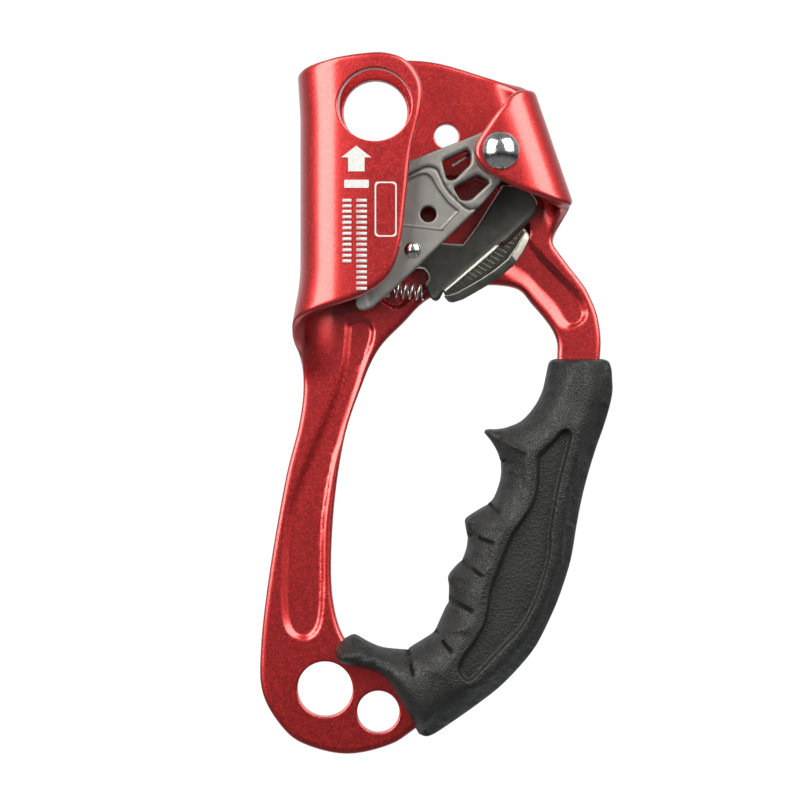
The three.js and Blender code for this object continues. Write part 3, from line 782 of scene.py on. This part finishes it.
def relaxed(values, triangles, fixed, rounds):
    """Values on a triangulation evened out, with some of them held."""
    pairs = np.vstack([triangles[:, [0, 1]], triangles[:, [1, 2]], triangles[:, [2, 0]]])
    pairs = np.vstack([pairs, pairs[:, ::-1]])
    count = np.bincount(pairs[:, 0], minlength=len(values))
    for _ in range(rounds):
        mean = np.bincount(pairs[:, 0], values[pairs[:, 1]], minlength=len(values)) / np.maximum(count, 1)
        values = np.where(fixed, values, 0.5 * values + 0.5 * mean)
    return values


def grip_points(panel):
    """Fine points for the panel's border, the slits and the crest."""
    fine = lattice((16, 68), (-148, -74), 0.34)
    depth = signed(fine, panel)
    near = (depth > -1.9) & (depth < 4.4)
    near &= (np.arange(len(fine)) % 2 == 0) | (depth < 0.9)
    near |= np.min([to_segment(fine, a, b) for a, b in SLITS + [CREST]], axis=0) < 0.9
    return fine[near]


def grip_body(flat, triangles, away, slit):
    """Half thickness of the grip without its panel: thin at the finger side, the top and the foot."""
    spacing = 0.7
    side = [through(run, spacing) for run in [GRIP_OUTER] + GRIP_INNER]
    to_top = distance_to_runs(flat, [through(GRIP_TOP, spacing)])
    to_foot = distance_to_runs(flat, [through(GRIP_FOOT, spacing)])
    at_edge = ramp(away, 0.3)
    soft = relaxed(distance_to_runs(flat, side), triangles, away < 0.9, 60)
    soft = np.maximum(soft - 0.7 * slit * at_edge, 0.05 * at_edge)
    half = GRIP_HALF * bulge(soft / 10.5) * bulge(to_top / 1.6 + 0.05) * (0.2 + 0.8 * bulge(to_foot / 5.5))
    return half * (away > 1e-4)


def dark_line(depth, right, slit):
    """Where the grip is in deep shade: the slits and a line inside the panel's border."""
    line = 0.85 * (0.25 + 0.75 * right) * hump(depth, 0.3 * right - 0.35, 0.36)
    line += 0.5 * (1 - right) * hump(depth, -0.5, 0.9)
    return np.clip(slit * 1.2 - 0.2 + line, 0, 1)


def build_grip():
    loop = chain([GRIP_TOP, GRIP_OUTER, GRIP_FOOT] + GRIP_INNER, 0.7)
    panel = closed(PANEL, 0.7)
    flat, triangles = triangulate([loop], [GRIP_ROUNDING], 0.95, grip_points(panel))
    away, _ = distance(flat, [loop])
    slit = sum(hump(to_segment(flat, a, b), 0, SLIT_WIDTH) for a, b in SLITS)
    half = grip_body(flat, triangles, away, slit)
    depth = signed(flat, panel)
    # The panel's border is a low step at its left and a broad bead at its right.
    right = smoothstep(flat[:, 0] - 0.42 * flat[:, 1], 91, 97)
    half += (0.3 + 1.1 * right) * hump(depth, 2.1 + 0.8 * right, 1.35 + 0.45 * right)
    half -= PANEL_DEPTH * (1 - smoothstep(depth, -1.6 + 1.1 * right, 0.7 - 0.1 * right))
    half -= SLIT_DEPTH * slit
    for a, b in KNUCKLES:
        half += KNUCKLE_HEIGHT * hump(to_segment(flat, a, b), 0, 1.3) * ramp(away, 3)
    half += CREST_HEIGHT * np.exp(-to_segment(flat, *CREST) / 0.6) * ramp(away, 1.5)
    half = np.clip(np.maximum(half, 0.15 * ramp(away, 0.3)), 0, GRIP_HALF)
    held = (depth < 0.7) | (away < 0.9) | (right < 0.05)
    half = relaxed(half, triangles, held, 25)
    # The "slit" attribute carries painted shade to the material.
    attributes = {"panel": 1 - smoothstep(depth, -1.2, -0.2), "slit": dark_line(depth, right, slit)}
    piece = thick_piece("handle_grip", flat, triangles, half, half, upright(SHEET_MID), attributes)
    finish_piece(piece, "frame", RUBBER, "grip")


build_grip()


# ---- cam ----

CAM_FRONT = -6.0
CAM_BACK = 2.0
CAM_EYE = 7.2
GROOVE_DEPTH = 0.55
CAM_PANEL_DEPTH = 0.5
WINDOW_RIM = 0.18
CREASE_DEPTH = 0.3
TOOTH_ROWS = 12
TOOTH_PITCH = 1.9
# Radius, height out of the face and droop along it of each ring of a tooth.
TOOTH_RINGS = ((0.8, -0.4, 0), (0.62, 0.25, 0.05), (0.3, 0.75, 0.3))
UPPER_WINDOW = [(29.6, -2.0), (31.0, -7.5), (33.2, -7.4), (37.7, -2.9), (37.6, 0.2), (36.6, 1.2)]
LOWER_WINDOW = [(32.7, -9.3), (34.8, -13.1), (37.6, -13.0), (42.7, -8.3), (42.4, -7.4), (39.6, -5.7)]
CAM_PANEL = [(17, -9.1), (20.4, -7.4), (23.6, -6.0), (25.3, -5.7), (26.6, -6.6), (28.3, -9.7), (31.2, -13.6),
             (34.2, -16.1), (29.4, -21.2), (17, -19.8)]
CAM_GROOVE = [(16, -8.6), (20.5, -6), (23.1, -4.7), (25.1, -3.9), (26.8, -3.9), (28.4, -4.7), (29.3, -6.5),
              (30.8, -9.6), (32.9, -12.1), (35, -14.1), (37.1, -15.4), (39.6, -15.2)]


def cam_outline(spacing):
    arc = [(AXLE[0] + CAM_EYE * math.cos(a), CAM_EYE * math.sin(a)) for a in np.linspace(1.95, -1.45, 24)]
    top = [(13.5, -4.2), (20.9, -2.1), (28, 0.7), (37.9, 4.55), arc[0]]
    under = [arc[-1], (40.7, -13.9), (30, -24.3), (22.1, -31.9), (16.5, -37), (13.2, -39.9), (10.6, -42.2)]
    tip = [(10.6, -42.2), (8.4, -43.1), (6.9, -43), (5.9, -41.8)]
    face = [(5.9, -41.8), (5.9, -30), (7.1, -17), (9.6, -8.5), (11.4, -5.4), (13.5, -4.2)]
    return chain([top, arc, under, tip, face], spacing)


def build_cam():
    windows = [rounded(UPPER_WINDOW, 1.1), rounded(LOWER_WINDOW, 1.1)]
    holes = [circle((25.9, -16.8), 2.2, 0.35), circle(RIVET, RIVET_BORE, 0.35), circle(AXLE, 4.1, 0.5)]
    loops = [cam_outline(0.5)] + windows + holes
    radii = [0.55, 0.6, 0.6, 0.5, 0.3, 0.3]
    fine = lattice((15, 42), (-23, -2), 0.24)
    panel = rounded(CAM_PANEL, 0.5, 0.4)
    groove = through(CAM_GROOVE, 0.4)
    near = (distance(fine, [panel])[0] < 0.9) | (distance_to_runs(fine, [groove]) < 1.2)
    flat, triangles = triangulate(loops, radii, 0.9, fine[near])
    away, owner = distance(flat, loops)
    half = (CAM_BACK - CAM_FRONT) / 2
    upper = edge_round(away, half, np.array(radii)[owner])
    depth = signed(flat, panel)
    to_groove = distance_to_runs(flat, [groove])
    crease = to_segment(flat, (9.4, -39.5), (10.2, -42.6))
    lower = upper - GROOVE_DEPTH * hump(to_groove, 0, 0.5)
    lower -= CAM_PANEL_DEPTH * (1 - smoothstep(depth, -0.5, 0.2)) + CREASE_DEPTH * hump(crease, 0, 0.3)
    lower += WINDOW_RIM * ((owner == 1) | (owner == 2)) * hump(away, 0.9, 0.5)
    # Painted shade in the groove and along the step of the recessed panel, carried by the "groove"
    # attribute.
    groove_shade = np.clip(hump(to_groove, 0, 0.34) + 0.85 * hump(depth, 0.16, 0.2), 0, 1)
    place = upright((CAM_FRONT + CAM_BACK) / 2)
    piece = thick_piece("cam_casting", flat, triangles, upper, lower, place, {"groove": groove_shade})
    finish_piece(piece, "cam", CAST, "cam")


build_cam()


def build_teeth():
    """Rows of small hooked points on the cam's face, and the seat of the catch spring."""
    vertices, faces = [], []
    face = through([(6.0, -40.6), (5.9, -30), (7.1, -17), (9.3, -9)], 0.25)
    for i in range(TOOTH_ROWS):
        at = int((i + 0.5) / TOOTH_ROWS * (len(face) - 1))
        along = face[min(at + 2, len(face) - 1)] - face[max(at - 2, 0)]
        along /= np.linalg.norm(along)
        shift = 0.6 if i % 2 else 0.0
        for y in np.arange(CAM_FRONT + 1.1 + shift, CAM_BACK - 0.8, TOOTH_PITCH):
            add_tooth(vertices, faces, face[at], along, y)
    add_seat(vertices, faces)
    piece = new_object("cam_teeth", vertices, faces, {"groove": np.zeros(len(vertices))})
    piece.data.set_sharp_from_angle(angle=math.radians(35))
    finish_piece(piece, "cam", CAST)


def add_tooth(vertices, faces, base, along, y):
    """A hooked point with its tip out of the face and its foot a little inside it."""
    start = len(vertices)
    sides = 8
    out = np.array([-along[1], along[0]])
    for ring, (radius, reach, droop) in enumerate(TOOTH_RINGS):
        for cos, sin in around(sides):
            spot = base + out * reach - along * (droop + radius * cos)
            vertices.append((spot[0], y + radius * sin, spot[1]))
        if ring:
            faces += ring_faces(start + (ring - 1) * sides, start + ring * sides, sides)
    tip = base + out * 1.0 - along * 0.45
    vertices.append((tip[0], y, tip[1]))
    last = start + 2 * sides
    faces += [(last + k, last + (k + 1) % sides, last + sides) for k in range(sides)]
    faces.append(tuple(start + k for k in reversed(range(sides))))


def add_seat(vertices, faces):
    """A block with a bevelled face, behind the cam at the catch spring's left end."""
    start = len(vertices)
    x0, z0 = SPRING_FROM
    front, back, half = CAM_BACK - 0.4, 6.1, 2.3
    for x, bevel in ((x0 - 3.1, 0), (x0 - 0.6, 0), (x0 - 0.35, 0.25)):
        corners = (front, -half), (back - bevel, bevel - half), (back - bevel, half - bevel), (front, half)
        vertices += [(x, y, z0 + z) for y, z in corners]
    faces += ring_faces(start, start + 4, 4) + ring_faces(start + 4, start + 8, 4)
    faces.append(tuple(start + k for k in (3, 2, 1, 0)))
    faces.append(tuple(start + 8 + k for k in range(4)))


build_teeth()


# ---- safety catch ----

CATCH_MID = 4.0
BEND_START = np.array([30.9, -38.6])
BEND_TILT = math.atan2(12.8, 14.7)
TAB_FILLET = 2.4
TAB_SECTION = through([
    (-TAB_FILLET, CATCH_MID), (-1.1, 3.75), (0.1, 3.05), (1.0, 1.9), (1.6, 0.4), (2.3, -2.5), (3.4, -7),
    (4.5, -11), (5.5, -13.6),
], 0.3)
TAB_REACH = lengths_along(TAB_SECTION)
TAB_LENGTH = float(TAB_REACH[-1])
# What share of its section's lean the tab has, at distances along the bend line.
TAB_SPREAD_AT = [-1.4, 0, 2, 5.3, 8.9, 13.6, 18.2, 22.3, 25.8, 27.6]
TAB_SPREAD = [0.38, 0.46, 0.6, 0.73, 0.86, 0.98, 1.0, 0.8, 0.56, 0.4]
TAB_COS, TAB_SIN = math.cos(BEND_TILT), math.sin(BEND_TILT)
# The knurling's dots: height, and half their pitch along the bend line and away from it.
DOT_HEIGHT = 0.28
DOT_STEPS = (0.75, 1.3)


def tab_flat(along, reach):
    """A point of the flattened tab: along the bend line and on from where the bend starts."""
    out = reach - TAB_FILLET
    return (BEND_START[0] + along * TAB_COS + out * TAB_SIN, BEND_START[1] + along * TAB_SIN - out * TAB_COS)


def tab_place(u, v):
    """The reverse of tab_flat: along the bend line, and reach from where the bend starts."""
    right, up = u - BEND_START[0], v - BEND_START[1]
    return right * TAB_COS + up * TAB_SIN, right * TAB_SIN - up * TAB_COS + TAB_FILLET


def bend_catch(u, v, w):
    """Bend the flattened catch: w is the height above mid sheet, out of its back."""
    along, reach = tab_place(u, v)
    on_tab = np.clip(reach, 0, TAB_LENGTH)
    spread = np.interp(along, TAB_SPREAD_AT, TAB_SPREAD)

    def section(r):
        q = np.interp(r, TAB_REACH, TAB_SECTION[:, 0])
        return np.where(q > 0, q * spread, q), np.interp(r, TAB_REACH, TAB_SECTION[:, 1])

    q, y = beside(section, on_tab, 0.4, -w)
    flat = reach <= 0
    x = np.where(flat, u, BEND_START[0] + along * TAB_COS + q * TAB_SIN)
    z = np.where(flat, v, BEND_START[1] + along * TAB_SIN - q * TAB_COS)
    return np.column_stack([x, np.where(flat, CATCH_MID + w, y), z])


def catch_outline(spacing):
    """Smooth runs round the catch, the tab's given as distances along and away from the bend line."""
    notch = [(26.4, -39.2), (25.3, -35.6), (26.1, -34.3), (26.0, -33), (24.9, -31.5), (23, -31.2)]
    hidden = [(23, -31.2), (19.3, -31), (16.9, -28), (17.2, -24.6), (20.3, -22.2), (25, -22.6), (29.4, -24),
              (35.7, -24.5)]
    left = [(35.7, -24.5), (39.6, -19.2), (42.8, -14.1), (46.7, -7.9)]
    tab_right = [(20.6, 2), (20.8, 4.3), (22.3, 7.5), (25.2, 11), (27.2, 14), (27.5, 16),
                 (26.8, TAB_LENGTH - 0.6), (25.4, TAB_LENGTH)]
    tab_end = [(25.4, TAB_LENGTH), (1.8, TAB_LENGTH)]
    tab_left = [(1.8, TAB_LENGTH), (0.2, TAB_LENGTH - 0.5), (-0.9, TAB_LENGTH - 2), (-1.2, 13), (-0.9, 8),
                (-0.3, 3.5), (0, 1.2)]
    tab = [[tab_flat(*p) for p in run] for run in (tab_right, tab_end, tab_left)]
    right = [(46.7, -7.9), (50, -8.2), (53.5, -9.5), (55.9, -11.5), (56.6, -14.3), (55.3, -16.7),
             (51.9, -20.3), (48.4, -23.9), tab[0][0]]
    foot = [tab[-1][-1], (29, -39.7), (27.7, -40.2), (26.4, -39.2)]
    return chain([notch, hidden, left, right] + tab + [foot], spacing)


def catch_painted_highlights(away, along, reach, height, dots, bare):
    """Painted highlights on the catch: its cut edges, the bend line and the tab's rim are lightened where
    highlights fall; the knurl dots are lightened too.
    """
    edge = (1 - ramp(away, 0.85)) * (reach < 0.2) * smoothstep(height, -29.5, -27.5)
    edge += 0.6 * dots * smoothstep(along, 2, 9)
    # A painted highlight along the bend line.
    bend_highlight = 0.95 * hump(reach, 2.3, 0.75) * smoothstep(along, -0.2, 0.8)
    edge += bend_highlight * (1 - smoothstep(along, 19.6, 20.4))
    edge += 0.9 * hump(away, 0.35, 0.2) * (reach > 8) * (1 - bare)
    return np.clip(edge, 0, 1)


def build_catch():
    loops = [catch_outline(0.45), circle(RIVET, RIVET_BORE, 0.35)]
    fine = lattice((27, 74), (-62, -18), 0.28)
    _, reach = tab_place(fine[:, 0], fine[:, 1])
    fine = fine[(reach > 0) & (reach < TAB_LENGTH)]
    flat, triangles = triangulate(loops, [0.75, 0.3], 0.8, fine)
    away, _ = distance(flat, loops)
    along, reach = tab_place(flat[:, 0], flat[:, 1])
    half = 1.0 + 0.25 * smoothstep(reach, 10, TAB_LENGTH)
    upper = edge_round(away, half, 0.6 - 0.25 * smoothstep(reach, 10, 12))
    corner = ramp(along - 23.6, 4.2)
    upper *= 1 - (1 - np.sqrt(1 - corner ** 2)) * smoothstep(reach, 12, TAB_LENGTH - 1)
    lower = upper - 0.28 * (1 - ramp(away, 0.75)) * (reach < 0.2)
    dots = smoothstep(reach, 4.0, 5.0) * (1 - smoothstep(reach, 15.6, 16.4)) * ramp(away, 1.5)
    for way, step in zip((along, reach), DOT_STEPS):
        dots *= np.clip(np.cos(way * math.pi / step) * 1.6, 0, 1)
    lower += DOT_HEIGHT * dots
    bare = ((along > 19.8) & (reach > TAB_LENGTH - 1.0) & (away < 0.02)).astype(float)
    height = flat[:, 1] + 0.3 * flat[:, 0]
    # The "edge" attribute carries the painted highlights to the material.
    attributes = {"edge": catch_painted_highlights(away, along, reach, height, dots, bare), "bare": bare}
    piece = thick_piece("catch_lever", flat, triangles, upper, lower, bend_catch, attributes)
    finish_piece(piece, "catch", BLACK_STEEL, "catch_plate")


build_catch()


# ---- turned pieces ----

TURNED_SHARP = math.radians(32)


def turned(name, profile, centre, body, look, node, sides=64):
    """A piece turned about an axis along Y: profile points are (radius, y), smoothed between corners."""
    x, z = centre
    vertices, faces, rings = [], [], []
    for radius, y in profile:
        start = len(vertices)
        vertices += [(x + radius * cos, y, z + radius * sin) for cos, sin in around(sides if radius else 1)]
        rings.append(range(start, len(vertices)))
    pairs = list(zip(rings, rings[1:]))
    if len(rings[0]) > 1:
        pairs.append((rings[-1], rings[0]))
    for first, second in pairs:
        for k in range(sides):
            corners = (first, k), (first, k + 1), (second, k + 1), (second, k)
            face = dict.fromkeys(ring[i % len(ring)] for ring, i in corners)
            if len(face) > 2:
                faces.append(list(face))
    piece = new_object(name, vertices, faces)
    piece.data.set_sharp_from_angle(angle=TURNED_SHARP)
    finish_piece(piece, body, look, node)


def dome(radius, base, height, steps=12):
    """Profile of a domed head from its tip out to its rim."""
    sphere = (radius ** 2 + height ** 2) / (2 * height)
    points = []
    for i in range(steps + 1):
        r = radius * math.sin(math.pi / 2 * i / steps)
        points.append((r, base - height + sphere - math.sqrt(max(sphere ** 2 - r ** 2, 0))))
    return points


def collar(inner, outer, y0, y1, bevel=0.15):
    """Profile of a ring with its outer edges bevelled."""
    return [(inner, y0), (outer - bevel, y0), (outer, y0 + bevel), (outer, y1 - bevel), (outer - bevel, y1),
            (inner, y1)]


def build_turned():
    seat, tail = -11.8, 11.8
    axle = dome(5.0, seat - 0.5, 2.35) + [(5.1, seat - 0.35), (5.1, seat), (3, seat), (3, tail), (4.3, tail),
                                          (4.6, 12), (4.5, 12.5), (3.8, 13.2), (2.4, 13.6), (0, 13.7)]
    turned("axle_rivet", axle, AXLE, "frame", POLISHED, "cam_axle")
    seat, tail = CAM_FRONT - 0.1, 6.2
    pin = dome(2.25, seat - 0.05, 1.05) + [(2.3, seat), (1.6, seat), (1.6, tail), (2.3, tail), (2.25, 6.6),
                                           (1.6, 7.0), (0, 7.05)]
    turned("catch_pin", pin, RIVET, "cam", POLISHED, "catch_rivet", 48)
    turned("cam_eye_bush", collar(AXLE_BORE, 4, CAM_FRONT, CAM_BACK), AXLE, "cam", WIRE, "cam_bush")
    turned("thrust_washer", collar(AXLE_BORE, 7, -7.2, -6.3), AXLE, "frame", POLISHED, "front_washer")
    turned("coil_sleeve", collar(AXLE_BORE, 3.9, 2.3, 7.2), AXLE, "frame", WIRE, "spring_sleeve")
    turned("catch_shim", collar(RIVET_BORE, 3.4, 2.3, 2.7, 0.05), RIVET, "cam", WIRE, "catch_spacer", 48)
    turned("tail_washer", collar(RIVET_BORE, 3.2, 5.3, 6.0, 0.1), RIVET, "catch", WIRE, "rivet_washer", 48)


build_turned()


# ---- springs ----

TORSION_WIRE = 0.46
PUSH_WIRE = 0.36


def tube(name, path, radius, sides=10):
    """A closed round wire along a list of points, with rounded ends."""
    path = [Vector(p) for p in path]
    vertices, faces = [], []
    side = None
    for i, spot in enumerate(path):
        ahead = (path[min(i + 1, len(path) - 1)] - path[max(i - 1, 0)]).normalized()
        if side is None:
            side = ahead.orthogonal().normalized()
        side = (side - ahead * side.dot(ahead)).normalized()
        other = ahead.cross(side)
        shrink = 0.55 if i in (0, len(path) - 1) else 1.0
        vertices += [spot + (side * cos + other * sin) * radius * shrink for cos, sin in around(sides)]
        if i:
            faces += ring_faces((i - 1) * sides, i * sides, sides)
    faces.append(tuple(reversed(range(sides))))
    faces.append(tuple(range(len(vertices) - sides, len(vertices))))
    return new_object(name, vertices, faces)


def torsion_path():
    """A leg into the cam's window, the coil round the axle from front to back, and a leg to the wall."""
    radius, turns = 4.6, 3.6
    cam_leg, wall_leg = 12.6, 8.0
    first, last = 2.9, 6.9
    start = math.radians(124)
    coil = radius * turns * 2 * math.pi
    points = []
    for s in np.linspace(-cam_leg, coil + wall_leg, 301):
        turn = min(max(s, 0), coil) / radius
        extra = s if s < 0 else max(0, s - coil)
        angle = start - turn
        x = AXLE[0] + radius * math.cos(angle) + extra * math.sin(angle)
        z = radius * math.sin(angle) - extra * math.cos(angle)
        hooked = radius * smoothstep(-s, 5.0, 8.5)
        points.append((x, first - hooked + (last - first) * turn * radius / coil, z))
    return points


def push_path():
    """A coil from the cam's seat to the catch."""
    start, end = np.array(SPRING_FROM), np.array(SPRING_TO)
    length = np.linalg.norm(end - start)
    ahead = (end - start) / length
    across = np.array([-ahead[1], ahead[0]])
    radius, turns = 2.1, 4.5
    points = []
    for t in np.linspace(0, 1, 241):
        angle = 2 * math.pi * turns * t
        travelled = PUSH_WIRE + (length - 2 * PUSH_WIRE) * t
        spot = start + ahead * travelled + across * radius * math.cos(angle)
        points.append((spot[0], CATCH_MID + radius * math.sin(angle), spot[1]))
    return points


def build_springs():
    piece = tube("torsion_wire", torsion_path(), TORSION_WIRE)
    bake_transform(piece)
    dress(piece, WIRE, "cam_spring")
    piece = tube("push_wire", push_path(), PUSH_WIRE)
    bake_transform(piece)
    dress(piece, WIRE, "catch_spring")


build_springs()


# ---- markings on the flap: a plain arrow, a bar, ticks and an outline ----

FLAP_FACE = -(SHEET_MID + SHEET / 2)
INK_HEIGHT = 0.04


def build_marking(name, outlines, radius):
    loops = [rounded(corners, radius, 0.4) for corners in outlines]
    flat, triangles = triangulate(loops, [0.05] * len(loops), 1.2)
    half = np.full(len(flat), INK_HEIGHT / 2)
    piece = thick_piece(name, flat, triangles, half, half, upright(FLAP_FACE - 0.03))
    finish_piece(piece, "frame", INK)


def build_ticks(name, left, right, top, bottom):
    """A column of short plain ticks, printed like the arrow."""
    vertices, faces = [], []
    front = FLAP_FACE - 0.05
    for z in np.arange(top, bottom, -1.5):
        loop = rounded([(left, z), (right, z), (right, z - 0.8), (left, z - 0.8)], 0.2, 0.2)
        start, count = len(vertices), len(loop)
        vertices += [(x, y, v) for y in (front, front + INK_HEIGHT) for x, v in loop]
        faces.append(tuple(range(start, start + count)))
        faces.append(tuple(reversed(range(start + count, start + 2 * count))))
        faces += ring_faces(start + count, start, count)
    finish_piece(new_object(name, vertices, faces), "frame", INK)


def build_markings():
    x, z = 6.2, 1.3
    tip, barb, stem = 4.1, 3.2, 2.25
    arrow = [(x, z), (x - tip, z - barb), (x - stem, z - barb), (x - stem, z - 7), (x + stem, z - 7),
             (x + stem, z - barb), (x + tip, z - barb)]
    build_marking("print_arrow", [arrow], 0.15)
    build_marking("print_bar", [[(2.9, -8.0), (9.6, -8.0), (9.6, -10.2), (2.9, -10.2)]], 0.3)
    outer = [(11.2, -8.5), (17.2, -8.5), (17.2, -23.5), (11.2, -23.5)]
    inner = [(11.6, -8.9), (16.8, -8.9), (16.8, -23.1), (11.6, -23.1)]
    build_marking("print_panel", [outer, inner], 1.2)
    build_ticks("print_ticks_left", 2.4, 4.9, -13.2, -31)
    build_ticks("print_ticks_right", 6.2, 9.1, -13.2, -37.5)


build_markings()


# ---- stage ----

FLOOR_RADIUS = 3.1
FLOOR_AT = (0.018, 0, -0.8)
CAMERA_AT = (0.0181, -0.600, -0.0680)
CAMERA_LENS = 97.2
LAMP_TARGET = Vector((0.02, 0, -0.03))
LAMP_AWAY = 1.0
LAMP_WIDTH = 0.72
LAMP_COLOUR = (1.0, 0.94, 0.83)
ROOM_FRONT = 0.2
ROOM_BACK = 0.85


def build_stage():
    mesh = bpy.data.meshes.new("floor")
    work = bmesh.new()
    bmesh.ops.create_circle(work, cap_ends=True, segments=96, radius=FLOOR_RADIUS)
    work.to_mesh(mesh)
    work.free()
    floor = placed("floor", mesh, FLOOR_AT)
    floor.data.materials.append(pale_floor())
    floor.visible_glossy = False


def softbox(name, azimuth, elevation, height, power):
    """A soft area light that faces the object, at an azimuth measured from the front."""
    data = bpy.data.lights.new(name, "AREA")
    data.shape = "RECTANGLE"
    data.size = LAMP_WIDTH
    data.size_y = height
    data.energy = power
    data.color = LAMP_COLOUR
    turn, lift = math.radians(azimuth), math.radians(elevation)
    direction = Vector((math.sin(turn) * math.cos(lift), -math.cos(turn) * math.cos(lift), math.sin(lift)))
    lamp = placed(name, data, LAMP_TARGET + direction * LAMP_AWAY)
    lamp.rotation_euler = (-direction).to_track_quat("-Z", "Y").to_euler()


def build_world():
    """The camera sees white. The object sees a room, dimmer in front, with a dark band below the horizon."""
    world = bpy.data.worlds.new("studio")
    bpy.context.scene.world = world
    world.use_nodes = True
    n = Nodes(world.node_tree)
    where = n.add("ShaderNodeSeparateXYZ", {0: n.add("ShaderNodeTexCoord").outputs["Generated"]})
    behind = n.spread(where.outputs["Y"], 0.0, 0.6, ROOM_FRONT, ROOM_BACK, "LINEAR")
    to_band = n.maths("ABSOLUTE", n.maths("ADD", where.outputs["Z"], 0.3))
    banded = n.spread(to_band, 0.05, 0.32, 0.15, 1.0, "LINEAR")
    room = n.tree.nodes["Background"]
    n.fill(room, {"Color": (0.98, 0.98, 1.0, 1), "Strength": n.maths("MULTIPLY", behind, banded)})
    white = n.add("ShaderNodeBackground", {"Color": (1, 1, 1, 1), "Strength": 1.05})
    seen = n.add("ShaderNodeLightPath").outputs["Is Camera Ray"]
    mix = n.add("ShaderNodeMixShader", {0: seen, 1: room.outputs[0], 2: white.outputs[0]})
    n.fill(n.tree.nodes["World Output"], {"Surface": mix.outputs[0]})


def build_camera():
    data = bpy.data.cameras.new("camera")
    data.lens = CAMERA_LENS
    data.sensor_width = 36
    camera = placed("camera", data, CAMERA_AT)
    camera.rotation_euler = (math.pi / 2, 0, 0)
    bpy.context.scene.camera = camera


build_stage()
build_world()
build_camera()
softbox("left_softbox", -46, 24, 1.1, 20)
softbox("right_softbox", 46, 30, 1.0, 16)
bpy.context.scene.view_settings.view_transform = "Standard"
